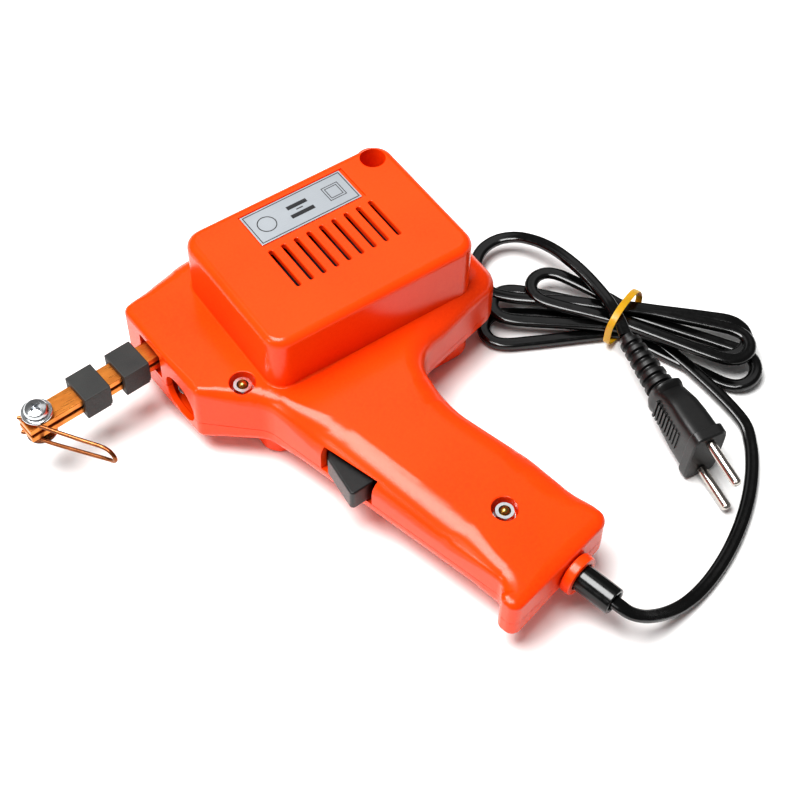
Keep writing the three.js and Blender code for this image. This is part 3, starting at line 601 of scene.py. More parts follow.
@dataclass
class Case:
    """The two moulded halves, with their boxes, bosses, slots and openings.

    Attributes:
        wall: Wall thickness.
        bottom: Height of the body's underside.
        parting: Height of the parting line.
        top: Height of the body's upper face.
        box_top: Height of the transformer box.
        gap: Gap between the halves.
        taper_start: Where along Y the handle's upper face begins to fall.
        taper: Fall of the upper face, as a share of height above the parting line for each millimetre.
        taper_soften: Reach of the curve that eases into the fall.
        fillet_steps: Rings in a rounded edge.
        bolts: Each bolt's name, place and the height of its ledge.
    """

    wall: float = 2.5
    bottom: float = 10.0
    parting: float = 20.0
    top: float = 40.0
    box_top: float = 66.0
    gap: float = 0.25
    taper_start: float = -55.0
    taper: float = 0.00388
    taper_soften: float = 16.0
    fillet_steps: int = 12
    bolts: tuple[tuple[str, float, float, float], ...] = (
        ("front", -32.8, -30.0, 34.0), ("grip", 17.6, -129.0, 28.6), ("corner", 60.5, 18.8, 34.0))

    def _body(self, name: str, outline: Outline, half: Half, skin: float) -> bpy.types.Object:
        """Return one half's solid body, `skin` inside the outer surface."""
        points, normals, radii = outline.trace()
        z_face = self.top - skin if half is Half.UPPER else self.bottom + skin
        z_part = self.parting + (self.gap / 2 if half is Half.UPPER else -self.gap / 2)
        if skin:
            z_part += -4 if half is Half.UPPER else 4
        if half is Half.LOWER:
            radii = np.minimum(radii, 8.5 - skin)
        sign = 1 if half is Half.UPPER else -1
        rings = [np.column_stack([points, np.full(len(points), z_part)])]
        for i in range(self.fillet_steps + 1):
            angle = math.pi / 2 * i / self.fillet_steps
            inward = radii * (1 - math.cos(angle))
            z = z_face - sign * radii * (1 - math.sin(angle))
            rings.append(np.column_stack([points + normals * inward[:, None], z]))
        return loft(name, rings)

    def _box(self, name: str, x: tuple[float, float], y: tuple[float, float], z: tuple[float, float],
             radius: float, edge: float, flare: float = 0.0) -> bpy.types.Object:
        """Return a box with round corners, a round far edge and a small fillet where it meets the body."""
        corners = [Corner(x[0], y[0], radius, edge, edge), Corner(x[1], y[0], radius, edge, edge),
                   Corner(x[1], y[1], radius, edge, edge), Corner(x[0], y[1], radius, edge, edge)]
        points, normals, radii = Outline(corners, arc_points=13).trace()
        upwards = z[1] > z[0]
        sign = 1 if upwards else -1
        near_wall = smoothstep((points[:, 1] - y[0] - 1) / 6) + smoothstep((8 - points[:, 0]) / 12)
        spread = flare * np.clip(near_wall, 0, 1)
        rings = [np.column_stack([points, np.full(len(points), z[0])])]
        if flare:
            foot = self.top
            for i in range(5):
                angle = math.pi / 2 * i / 4
                out = spread * (1 - math.sin(angle))
                up = foot + flare * (1 - math.cos(angle)) - 0.02
                rings.append(np.column_stack([points - normals * out[:, None], np.full(len(points), up)]))
        for i in range(self.fillet_steps + 1):
            angle = math.pi / 2 * i / self.fillet_steps
            inward = radii * (1 - math.cos(angle))
            height = z[1] - sign * radii * (1 - math.sin(angle))
            rings.append(np.column_stack([points + normals * inward[:, None], height]))
        return loft(name, rings)

    def _slope(self, obj: bpy.types.Object) -> None:
        """Let the handle's upper face fall towards its end, with a soft start."""
        soft = self.taper_soften
        for share in (1.0, 0.67, 0.33, 0.0, -0.33, -0.67, -1.0):
            self._split_face_above(obj, self.taper_start + soft * share)
        count = len(obj.data.vertices)
        points = np.empty(count * 3, dtype=np.float32)
        obj.data.vertices.foreach_get("co", points)
        points = points.reshape(-1, 3)
        past = self.taper_start - points[:, 1]
        softened = np.where(past > soft, past, np.where(past < -soft, 0, (past + soft) ** 2 / (4 * soft)))
        above = np.maximum(points[:, 2] - self.parting, 0)
        points[:, 2] -= above * self.taper * softened
        obj.data.vertices.foreach_set("co", points.ravel())
        obj.data.update()

    def _split_face_above(self, obj: bpy.types.Object, y: float) -> None:
        """Split the upper face along one line across the gun, and leave the fillets whole."""
        top = max(face.center.z for face in obj.data.polygons)
        for face in obj.data.polygons:
            face.select = face.center.z > top - 1e-3
        activate(obj)
        bpy.ops.object.mode_set(mode="EDIT")
        bpy.ops.mesh.select_mode(type="FACE")
        bpy.ops.mesh.bisect(plane_co=(0, y, 0), plane_no=(0, 1, 0))
        bpy.ops.object.mode_set(mode="OBJECT")

    def _bore(self, x: float, y: float, z0: float, z1: float, radius: float,
              rim: float = 0.0) -> bpy.types.Object:
        """Return a cutter for a round hole, with a soft rim at its upper end."""
        profile = [(0, z0), (radius, z0), (radius, z1 - rim)]
        if rim:
            profile += [(radius + rim * 0.3, z1 - rim * 0.3), (radius + rim, z1), (radius + rim, z1 + 6)]
        profile.append((0, profile[-1][1]))
        return turned(lathe("bore", profile), Matrix.Translation((x, y, 0)))

    def _rounded_window(self, low: Point, high: Point, radius: float, rim: float) -> bpy.types.Object:
        """Return a cutter for a window through the nose wall, along X, flared at its outer end."""
        (x0, y0, z0), (x1, y1, z1) = low, high
        rings = []
        steps = ((x0, rim + 3), (x1 - rim - 0.4, rim), (x1 - rim * 0.7, rim * 0.35), (x1, 0.0), (x1 + 9, 0.0))
        for x, grow in steps:
            places = ((y0 - grow, z0 - grow), (y1 + grow, z0 - grow),
                      (y1 + grow, z1 + grow), (y0 - grow, z1 + grow))
            corners = [Corner(y, z, radius + grow, 1, 1) for y, z in places]
            plan, _, _ = Outline(corners, arc_points=13, side_step=50).trace()
            rings.append(np.column_stack([np.full(len(plan), x), plan]))
        return loft("window", rings)

    def _boss(self, name: str, x: float, y: float, half: Half) -> bpy.types.Object:
        """Return the column round one bolt, which stays inside the rounded edges."""
        radius = 5.7 if name == "front" else 7.0
        if half is Half.UPPER:
            z0, z1 = self.parting + self.gap / 2, {"front": 38.6, "grip": 33.2, "corner": 64.6}[name]
        else:
            z0, z1 = {"front": 13.8, "grip": 11.2, "corner": 1.4}[name], self.parting - self.gap / 2
        column = lathe("boss", [(0, z0), (radius, z0), (radius, z1), (0, z1)])
        return turned(column, Matrix.Translation((x, y, 0)))

    def _cutters(self, half: Half) -> list[bpy.types.Object]:
        """Return every cutter for one half."""
        tools = [
            self._rounded_window((-60, -21.0, 13.0), (-50.8, -1.4, 31.0), 8.8, 0.5),
            self._rounded_window((-60, 1.5, 22.0), (-51.4, 15.5, 35.5), 1.0, 0.3),
            turned(lathe("cord_hole", [(0, -12), (6.2, -12), (6.2, 8), (0, 8)]),
                   along_direction(handle_point(HANDLE_END, 0) + HANDLE_SIDE * -6.4 + Vector((0, 0, 20)),
                                   HANDLE_AXIS)),
        ]
        for name, x, y, ledge in self.bolts:
            if half is Half.UPPER:
                top = {"front": 40.0, "grip": 34.55, "corner": 66.0}[name]
                tools.append(self._bore(x, y, ledge, top + 0.02, 5.1, 0.5))
            tools.append(self._bore(x, y, -2, 60, 2.3))
            if half is Half.LOWER:
                tools.append(self._bore(x, y, -2, 15, 4.2))
        if half is Half.UPPER:
            tools += [self._vent(i) for i in range(9)]
            tools.append(block("plate_recess", (-1.5, 3.3, 65.3), (46.7, 21.1, 70)))
            tools.append(block("trigger_slot", (-32, -92.4, 19), (-12, -68.2, 33)))
        return tools

    def _vent(self, index: int) -> bpy.types.Object:
        """Return the cutter of one cooling slot, with rounded ends and a soft upper rim."""
        x = 5.75 * index
        rings = []
        for z, grow in ((60.0, 0.0), (65.55, 0.0), (65.85, 0.1), (66.0, 0.32), (67.0, 0.32)):
            corners = [Corner(x - 0.95 - grow, -20.9 - grow, 0.85 + grow, 1, 1),
                       Corner(x + 0.95 + grow, -20.9 - grow, 0.85 + grow, 1, 1),
                       Corner(x + 0.95 + grow, grow, 0.85 + grow, 1, 1),
                       Corner(x - 0.95 - grow, grow, 0.85 + grow, 1, 1)]
            plan, _, _ = Outline(corners, arc_points=5, side_step=50).trace()
            rings.append(np.column_stack([plan, np.full(len(plan), z)]))
        return loft("vent", rings)

    def build(self, half: Half) -> bpy.types.Object:
        """Return one finished half of the case."""
        outline = Outline(CASE_CORNERS)
        body = self._body(f"{half.value}_fine", outline, half, 0.0)
        hollow = self._body("hollow", outline.inset(self.wall), half, self.wall)
        if half is Half.UPPER:
            box = self._box("box", (-25, 69), (-42, 26), (30, self.box_top), 8, 3.6, flare=0.9)
            box_hollow = self._box("box_hollow", (-22.5, 66.5), (-39.5, 23.5), (16, 63.5), 6, 1.2)
            self._slope(body)
            self._slope(hollow)
        else:
            box = self._box("box", (-29, 69), (-43, 26), (self.parting - 0.2, 0), 8, 2.6)
            box_hollow = self._box("box_hollow", (-26.5, 66.5), (-40.5, 23.5), (26, 2.5), 6, 1.2)
        combine(body, box, "UNION")
        combine(body, hollow, "DIFFERENCE")
        combine(body, box_hollow, "DIFFERENCE")
        for name, x, y, _ledge in self.bolts:
            combine(body, self._boss(name, x, y, half), "UNION")
        for tool in self._cutters(half):
            combine(body, tool, "DIFFERENCE")
        smooth(body, 32)
        return finish_piece(body, ORANGE_ABS, "case", [half.value])


# ------------------------------------------------------------------ nameplate
@dataclass
class Nameplate:
    """The foil plate on the box, with a printed border, plain bars and plain signs."""

    x0: float = -1.0
    x1: float = 45.2
    y0: float = 3.8
    y1: float = 20.6
    z: float = 66.0

    def build(self) -> None:
        """Build the plate and its print."""
        plate = block("nameplate_foil", (self.x0, self.y0, self.z - 0.45), (self.x1, self.y1, self.z))
        bevel(plate, 0.12, 2)
        smooth(plate)
        finish_piece(plate, FOIL, "case", ["nameplate"])
        marks = [self._mark(*strip) for strip in self._strips()]
        marks.append(self._ring(6.4, 12.2, 4.0))
        activate(marks[0])
        for mark in marks:
            mark.select_set(True)
        bpy.ops.object.join()
        marks[0].name = "nameplate_print"
        finish_piece(marks[0], PRINT_INK, "case")

    def _strips(self) -> list[tuple[float, float, float, float]]:
        """Return the printed strips as low and high corners."""
        x0, x1, y0, y1 = self.x0 + 0.7, self.x1 - 0.7, self.y0 + 0.7, self.y1 - 0.7
        line = 0.35
        strips = [(x0, y0, x1, y0 + line), (x0, y1 - line, x1, y1),
                  (x0, y0 + line, x0 + line, y1 - line), (x1 - line, y0 + line, x1, y1 - line)]
        for length, height, low in ((9.0, 1.9, 13.6), (3.0, 0.5, 12.1), (10.5, 1.9, 8.9)):
            strips.append((21.5 - length / 2, low, 21.5 + length / 2, low + height))
        for side, inner in ((7.6, 0.3), (5.6, 0.3)):
            cx, cy = 37.4, 12.2
            half = side / 2
            strips += [(cx - half, cy - half, cx + half, cy - half + inner),
                       (cx - half, cy + half - inner, cx + half, cy + half),
                       (cx - half, cy - half + inner, cx - half + inner, cy + half - inner),
                       (cx + half - inner, cy - half + inner, cx + half, cy + half - inner)]
        return strips

    def _mark(self, x0: float, y0: float, x1: float, y1: float) -> bpy.types.Object:
        """Return one strip of ink."""
        return block("mark", (x0, y0, self.z - 0.05), (x1, y1, self.z + 0.04))

    def _ring(self, x: float, y: float, radius: float) -> bpy.types.Object:
        """Return a printed ring."""
        z0, z1 = self.z - 0.05, self.z + 0.04
        profile = [(radius - 0.4, z0), (radius, z0), (radius, z1), (radius - 0.4, z1), (radius - 0.4, z0)]
        rings = [np.column_stack([disc(r, 40), np.full(40, z)]) for r, z in profile]
        ring = loft("ring", rings, closed_ends=False)
        return turned(ring, Matrix.Translation((x, y, 0)))


# ------------------------------------------------------------------ case bolts
@dataclass
class CaseBolt:
    """One M4 case bolt with its nut and washer."""

    name: str
    x: float
    y: float
    ledge: float
    gap: float = 0.3

    def build(self) -> None:
        """Build the washer, the nut and the threaded bolt."""
        place = Matrix.Translation((self.x, self.y, 0))
        z0 = self.ledge + self.gap
        rim = [(2.35, z0), (4.35, z0), (4.5, z0 + 0.2), (4.5, z0 + 0.6), (4.35, z0 + 0.8), (2.35, z0 + 0.8),
               (2.35, z0)]
        washer = loft(f"{self.name}_washer_fine",
                      [np.column_stack([disc(r, 48), np.full(48, z)]) for r, z in rim], closed_ends=False)
        smooth(turned(washer, place))
        finish_piece(washer, ZINC, "case", [f"{self.name}_washer"])
        self._nut(place, z0 + 0.8 + self.gap)
        self._bolt(place, z0 + 0.8 + self.gap + 3.2 + 1.1)

    def _nut(self, place: Matrix, z0: float) -> None:
        """Build a hexagon nut whose corners are turned off."""
        nut = prism(f"{self.name}_nut_fine", [tuple(p) for p in disc(7 / math.sqrt(3), 6)], z0, z0 + 3.2)
        dome = [(0, z0 - 0.01), (3.55, z0 - 0.01), (4.1, z0 + 0.4), (4.1, z0 + 2.8), (3.55, z0 + 3.21),
                (0, z0 + 3.21)]
        combine(nut, lathe("dome", dome), "INTERSECT")
        combine(nut, lathe("thread", [(0, z0 - 1), (2.3, z0 - 1), (2.3, z0 + 5), (0, z0 + 5)]), "DIFFERENCE")
        smooth(turned(nut, place), 25)
        finish_piece(nut, ZINC, "case", [f"{self.name}_nut"])

    def _bolt(self, place: Matrix, top: float) -> None:
        """Build the bolt with a slotted head below and rolled threads above."""
        head = 11.9
        profile = [(0, head), (3.3, head), (3.7, head + 0.5), (3.7, head + 2.8), (1.95, head + 2.8)]
        thread_start = top - 7
        profile.append((1.95, thread_start))
        pitch = 0.7
        turns = int((top - 0.9 - thread_start) / pitch)
        for i in range(turns):
            z = thread_start + i * pitch
            profile += [(1.62, z + pitch * 0.5), (1.97, z + pitch)]
        profile += [(1.6, top - 0.5), (1.1, top - 0.15), (0, top)]
        bolt = lathe(f"{self.name}_bolt_fine", profile, 32)
        combine(bolt, block("slot", (-5, -0.5, head - 1), (5, 0.5, head + 1.2)), "DIFFERENCE")
        smooth(turned(bolt, place), 50)
        finish_piece(bolt, BRASS, "case", [f"{self.name}_bolt"])


# ------------------------------------------------------------------ nose
@dataclass
class Nose:
    """The secondary bars, their blocks, the clamp screws and the wire tip.

    The nose's own axes are X along the bars from the clamp screws and Z up.
    """

    clamp: tuple[float, float] = (-102.3, 5.34)
    width: float = 9.2
    thickness: float = 2.8
    upper_z: float = 29.2
    lower_z: float = 24.8
    wire: float = 1.6

    def _place(self) -> Matrix:
        """Return the matrix from the nose's axes to the drawing frame."""
        return Matrix.Translation((*self.clamp, 0)) @ Matrix.Rotation(BAR_TURN, 4, "Z")

    def build(self) -> None:
        """Build every piece of the nose."""
        self._bar("upper_bar", 37, self.upper_z)
        self._bar("lower_bar", 7, self.lower_z)
        self._block("front_block", 16.8)
        self._block("rear_block", 34.6)
        upper = self.upper_z + self.thickness + self.wire + 0.6
        lower = self.lower_z - self.wire - 0.6
        flip = Matrix.Translation((0, 0, upper + lower)) @ Matrix.Rotation(math.pi, 4, "X")
        for name, matrix in (("upper", Matrix.Identity(4)), ("lower", flip)):
            self._washer(name, upper, matrix)
            self._screw(name, upper + 1.15, matrix)
        self._tip()

    def _bar(self, name: str, window_x: float, z0: float) -> None:
        """Build one flat copper bar with soft edges and its cranked inner end."""
        place = self._place()
        half, limb, front = self.width / 2, 3.6, -27.0

        def point(along: float, across: float) -> tuple[float, float]:
            """Return a drawing point beside the bar's line."""
            p = place @ Vector((along, across, 0))
            return (p.x, p.y)

        def along_at(x: float, across: float) -> float:
            """Return how far along the bar's line a given x is."""
            return (x - self.clamp[0] + across * math.sin(BAR_TURN)) / math.cos(BAR_TURN)

        outline = [point(-6.2, half), point(-6.2, -half), point(along_at(window_x - limb, -half), -half),
                   (window_x - limb, front), (window_x + limb, front),
                   point(along_at(window_x + limb, half), half)]
        bar = prism(f"{name}_fine", outline, z0, z0 + self.thickness)
        bevel(bar, 0.3, 3, 50)
        hole = lathe("hole", [(0, z0 - 1), (2.3, z0 - 1), (2.3, z0 + 4), (0, z0 + 4)])
        combine(bar, turned(hole, Matrix.Translation((*self.clamp, 0))), "DIFFERENCE")
        smooth(bar, 30)
        finish_piece(bar, COPPER, "case", [name])

    def _block(self, name: str, front: float) -> None:
        """Build an insulating block with two slots and a stepped lower corner."""
        half = 7.1
        piece = block(f"{name}_fine", (front, -half, 22.9), (front + 11.6, half, 34.5))
        bevel(piece, 0.45, 2, 40)
        for z in (self.lower_z, self.upper_z):
            slot = block("slot", (front - 1, -self.width / 2 - 0.3, z - 0.3),
                         (front + 13, self.width / 2 + 0.3, z + self.thickness + 0.3))
            combine(piece, slot, "DIFFERENCE")
        step = block("step", (front + 10.6, -half - 1, 22), (front + 13, -half + 0.8, 25.0))
        combine(piece, step, "DIFFERENCE")
        smooth(turned(piece, self._place()), 30)
        finish_piece(piece, PHENOLIC, "case", [name])

    def _washer(self, name: str, z0: float, matrix: Matrix) -> None:
        """Build a clamp washer with rolled edges."""
        rim = [(2.3, z0), (5.9, z0), (6.1, z0 + 0.25), (6.1, z0 + 0.75), (5.9, z0 + 1), (2.3, z0 + 1),
               (2.3, z0)]
        washer = loft(f"{name}_clamp_washer_fine",
                      [np.column_stack([disc(r, 56), np.full(56, z)]) for r, z in rim], closed_ends=False)
        turned(washer, self._place() @ matrix)
        self._outwards(washer)
        smooth(washer)
        finish_piece(washer, ZINC, "case", [f"{name}_clamp_washer"])

    def _outwards(self, obj: bpy.types.Object) -> None:
        """Turn every face outwards."""
        in_edit_mode(obj, lambda: bpy.ops.mesh.normals_make_consistent(inside=False))

    def _screw(self, name: str, seat: float, matrix: Matrix) -> None:
        """Build a pan-head screw with a cross recess."""
        profile = [(0, seat - 4.6), (1.7, seat - 4.6), (1.95, seat - 4.2), (1.95, seat), (4.55, seat),
                   (4.8, seat + 0.35), (4.75, seat + 1.0), (4.45, seat + 1.7), (3.8, seat + 2.25),
                   (2.6, seat + 2.6), (1.2, seat + 2.75), (0, seat + 2.78)]
        screw = lathe(f"{name}_clamp_screw_fine", profile, 56)
        for turn in (0.0, math.pi / 2):
            rings = []
            for z, length, width in ((seat + 0.9, 1.1, 0.3), (seat + 3.2, 2.75, 0.62)):
                rings.append(np.array([(-length, -width, z), (length, -width, z),
                                       (length, width, z), (-length, width, z)]))
            arm = loft("arm", rings)
            combine(screw, turned(arm, Matrix.Rotation(turn + 0.25, 4, "Z")), "DIFFERENCE")
        turned(screw, self._place() @ matrix)
        smooth(screw, 40)
        finish_piece(screw, ZINC, "case", [f"{name}_clamp_screw"])

    def _tip(self) -> None:
        """Build the bent wire that is the hot tip."""
        upper = self.upper_z + self.thickness + self.wire / 2 + 0.3
        lower = self.lower_z - self.wire / 2 - 0.3
        mid = (upper + lower) / 2
        plan = [(-6.6, 3.4), (-5.6, 2.2), (-4.1, 0.2), (-3.0, -3.4), (-1.1, -7.2), (6.2, -19.4),
                (11.8, -28.8)]

        def leg(z: float, bow: float) -> list[tuple[float, float, float]]:
            """Return one leg's points."""
            return [(x, y, z - bow * max(i - 4, 0)) for i, (x, y) in enumerate(plan)]

        tip = [(12.6, -31.6, mid + 2.2), (12.9, -32.6, mid), (12.6, -31.6, mid - 2.2)]
        path = spline([*leg(upper, 0.6), *tip, *leg(lower, -0.6)[::-1]], 0.5)
        wire = sweep("tip_wire_fine", path, disc(self.wire / 2, 14), flat=False)
        smooth(turned(wire, self._place()), 50)
        finish_piece(wire, COPPER_WIRE, "case", ["tip_wire"])


# ------------------------------------------------------------------ lamp
@dataclass
class Lamp:
    """The work lamp behind the oval window."""

    def build(self) -> None:
        """Build the bulb, drawn from its cap to its round nose."""
        profile = [(0, 0), (2.2, 0), (2.2, 5), (2.5, 6.2), (3.1, 7.8), (3.35, 9.6), (3.2, 11.4), (2.5, 12.9),
                   (1.4, 13.6), (0, 13.8)]
        bulb = lathe("lamp_bulb_fine", profile, 40)
        turned(bulb, along_direction((-36, -9, 24.5), (-1, 0, 0)))
        smooth(bulb, 50)
        finish_piece(bulb, GLASS, "case", ["lamp_bulb"])


# ------------------------------------------------------------------ trigger
@dataclass
class Trigger:
    """The wedge that is squeezed into the handle."""

    def build(self) -> None:
        """Build the trigger with soft edges."""
        corners = [Corner(-22.4, -72.4, 1, 1, 1), Corner(-24.1, -91, 1.6, 1, 1),
                   Corner(-12.5, -90.4, 1.5, 1, 1),
                   Corner(-15.6, -69.5, 1.5, 1, 1), Corner(-19.6, -68.9, 1.5, 1, 1)]
        plan, _, _ = Outline(corners, arc_points=7, side_step=40).trace()
        wedge = prism("trigger_fine", [tuple(p) for p in plan], 21, 31)
        bevel(wedge, 0.8, 3, 50)
        bore = lathe("bore", [(0, 20), (1.3, 20), (1.3, 32), (0, 32)], 24)
        combine(wedge, turned(bore, Matrix.Translation((-18, -70.5, 0))), "DIFFERENCE")
        smooth(wedge, 40)
        finish_piece(wedge, BLACK_NYLON, "trigger", ["trigger"])
        pin_profile = [(0, 13.8), (0.75, 13.8), (0.85, 14), (0.85, 32.4), (0.75, 32.6), (0, 32.6)]
        pin = lathe("trigger_pin_fine", pin_profile, 20)
        smooth(turned(pin, Matrix.Translation((-18, -70.5, 0))))
        finish_piece(pin, ZINC, "case", ["trigger_pin"])


# ------------------------------------------------------------------ cord
@dataclass
class MainsCord:
    """The flat twin cord from the handle, through the tied hank, to the plug."""

    width: float = 5.4
    thickness: float = 3.4
    waist: tuple[float, float] = (126.5, -68.5)
    to_hank: tuple[Point, ...] = (
        (23.5, -136.2, 20), (25.6, -145.5, 20), (27.6, -154.6, 20), (29.6, -163.4, 20), (31.6, -172.4, 20),
        (32.9, -177.8, 19.8), (35, -181.8, 18), (39.4, -184.6, 14.8), (46, -186, 10.6), (53.4, -186.4, 6.8),
        (61, -186, 4), (69, -184.8, 2.9), (78, -182.4, 2.5), (88, -178.6, 2.5), (98, -173.6, 2.5),
        (108, -167.4, 2.5), (117, -160.4, 2.5), (125, -152.6, 2.5), (131.4, -144.4, 2.6), (135.4, -135, 3.8),
    )
    to_plug: tuple[Point, ...] = (
        (90, -21.6, 7), (91.2, -15.4, 7), (95.6, -9, 7.2), (102, -5.4, 7.6), (109.6, -5.4, 8.4),
        (116, -9.6, 10), (120, -17, 12.2), (122.2, -25.6, 14.2), (123.4, -35, 15.3), (124, -45, 15.6),
        (123.8, -55, 15.4), (122.6, -64, 15.7), (119.4, -73.6, 17.2), (115.2, -83.3, 18.6),
    )
    layers: tuple[float, ...] = (3.2, 6.8, 10.4)
    left_tips: tuple[tuple[float, float], ...] = ((77.5, -38.5), (87.5, -31.0), (106.5, -33.5))
    right_tips: tuple[tuple[float, float], ...] = ((154.0, -121.5), (160.5, -108.5), (157.5, -113.0))
    lane: float = 8.0

    def _section(self) -> np.ndarray:
        """Return the flat twin section: an oval with a faint dip along each face."""
        ring = []
        for angle in np.linspace(0, 2 * math.pi, 24, endpoint=False):
            c, s = math.cos(angle), math.sin(angle)
            across = math.copysign(abs(c) ** 0.8, c) * self.width / 2
            up = math.copysign(abs(s) ** 0.8, s) * self.thickness / 2
            dip = 0.12 * math.exp(-((across / 0.7) ** 2))
            ring.append((across, up - math.copysign(dip, up) * (abs(s) > 0.9)))
        return np.array(ring)

    def _lobe(self, tip: tuple[float, float], start: float, end: float, z0: float, z1: float) -> list[Point]:
        """Return the points of one fold, from the waist out round its tip and back.

        Args:
            tip: The middle of the fold's far end.
            start: Sideways place at the waist going out.
            end: Sideways place at the waist coming back.
            z0: Height going out.
            z1: Height coming back.

        Returns:
            The points between the two passes of the waist.
        """
        waist, far = Vector(self.waist), Vector(tip)
        axis = (far - waist).normalized()
        side = Vector((-axis.y, axis.x))
        turn_sign = 1 if start < end else -1
        reach = (far - waist).length - self.lane
        points: list[Point] = []
        for share in (0.22, 0.5, 0.78):
            lateral = start + (-turn_sign * self.lane - start) * smoothstep(share)
            place = waist + axis * reach * share + side * lateral
            points.append((place.x, place.y, z0))
        for i in range(6):
            angle = -math.pi / 2 + math.pi * i / 5
            along = axis * (reach + self.lane * math.cos(angle))
            place = waist + along + side * (turn_sign * self.lane * math.sin(angle))
            points.append((place.x, place.y, z0 + (z1 - z0) * i / 5))
        for share in (0.78, 0.5, 0.22):
            lateral = end + (turn_sign * self.lane - end) * smoothstep(share)
            place = waist + axis * reach * share + side * lateral
            points.append((place.x, place.y, z1))
        return points

    def _hank(self) -> list[Point]:
        """Return the coiled stretch: folds left and right of the waist, one layer after another."""
        left_axis = (Vector(self.left_tips[0]) - Vector(self.waist)).normalized()
        side = Vector((-left_axis.y, left_axis.x))
        points: list[Point] = []

        def pass_waist(lateral: float, z: float) -> None:
            """Add the point where the cord passes the tie."""
            place = Vector(self.waist) + side * lateral
            points.append((place.x, place.y, z))

        pass_waist(-4.6, self.layers[0])
        for turn, z in enumerate(self.layers):
            points.extend(self._lobe(self.left_tips[turn], -4.6, 4.6, z, z))
            pass_waist(4.6, z)
            upper = self.layers[turn + 1] if turn + 1 < len(self.layers) else z + 0.6
            if turn + 1 < len(self.layers):
                points.extend(self._lobe(self.right_tips[turn], -4.6, 4.6, z, upper))
                pass_waist(-4.6, upper)
        return points

    def route(self) -> np.ndarray:
        """Return the whole centre line in the drawing frame."""
        last_right = self._lobe(self.right_tips[2], -4.6, 4.6, self.layers[2], self.layers[2])
        leave = [(122.5, -61.0, 10.6), (112, -50.5, 10.2), (101, -41, 9.4), (93.6, -33.0, 8.2),
                 (90.2, -27.2, 7.4)]
        points = [*self.to_hank, *self._hank(), *last_right, *leave, *self.to_plug]
        return spline(points, 1.6)

    def build(self) -> None:
        route = self.route()
        cord = sweep("mains_cord", route, self._section())
        smooth(cord, 60)
        finish_piece(cord, CORD_VINYL, "case", ["cord_to_hank", "cord_to_plug", "cord_hank"])


@dataclass
class CordEntry:
    """The red collar and the black sleeve that guide the cord out of the handle."""

    centre: tuple[float, float, float] = (28.6, -158.9, 20.0)

    def build(self) -> None:
        """Build the collar and the sleeve."""
        place = along_direction(self.centre, HANDLE_AXIS)
        collar_profile = [(5.65, -12), (6.6, -12), (6.75, -11.6), (6.75, -6.5), (5.8, -6.3), (5.8, -1.4),
                          (7.6, -1.3), (8.1, -1.0), (8.25, -0.4), (8.25, 2.1), (8.0, 2.7), (7.4, 3.0),
                          (6.1, 3.0), (5.65, 2.7), (5.65, -12)]
        collar = loft("cable_gland_fine",
                      [np.column_stack([disc(r, 56), np.full(56, z)]) for r, z in collar_profile],
                      closed_ends=False)
        smooth(turned(collar, place), 40)
        finish_piece(collar, ORANGE_ABS, "case", ["cable_gland"])
        sleeve_profile = [(3.3, -6), (5.1, -6), (5.35, -5.6), (5.35, 17.5), (5.25, 17.8), (5.0, 18),
                          (4.1, 18),
                          (3.7, 17.6), (3.3, 16.0), (3.3, -6)]
        sleeve = loft("strain_relief_fine",
                      [np.column_stack([disc(r, 48), np.full(48, z)]) for r, z in sleeve_profile],
                      closed_ends=False)
        smooth(turned(sleeve, place), 45)
        finish_piece(sleeve, CORD_VINYL, "case", ["strain_relief"])


@dataclass
class RubberBand:
    """The band that ties the hank and the plug's end of the cord."""

    centre: tuple[float, float] = (126.2, -70.0)
    turn: float = 0.36
    half_width: float = 13.4
    low: float = 1.0
    high: float = 20.4
    slope: float = 0.18

    def build(self) -> None:
        """Build the band as a flat strip carried round the bundle."""
        ring = []
        middle = (self.low + self.high) / 2
        for angle in np.linspace(0, 2 * math.pi, 73)[:-1]:
            c, s = math.cos(angle), math.sin(angle)
            across = math.copysign(abs(c) ** 0.75, c) * self.half_width
            up = middle + math.copysign(abs(s) ** 0.75, s) * (self.high - self.low) / 2
            lean = 0.5 * math.sin(2 * angle)
            up -= self.slope * across if s > 0 else 0.0
            ring.append((across, lean, up))
        ring_points = np.array(ring)
        outward = ring_points - [0, 0, middle]
        outward[:, 1] = 0
        outward /= np.linalg.norm(outward, axis=1)[:, None]
        strip = [(-1.5, 0.0), (-1.3, 0.32), (0.0, 0.42), (1.3, 0.32), (1.5, 0.0), (1.3, -0.32), (0.0, -0.4),
                 (-1.3, -0.32)]
        rings = [ring_points + outward * up + np.array([0, along, 0]) for along, up in strip]
        rings.append(rings[0])
        band = loft("rubber_band_fine", rings, closed_ends=False)
        turned(band, Matrix.Translation((*self.centre, 0)) @ Matrix.Rotation(self.turn, 4, "Z"))
        smooth(band, 60)
        finish_piece(band, BAND_RUBBER, "case", ["rubber_band"])


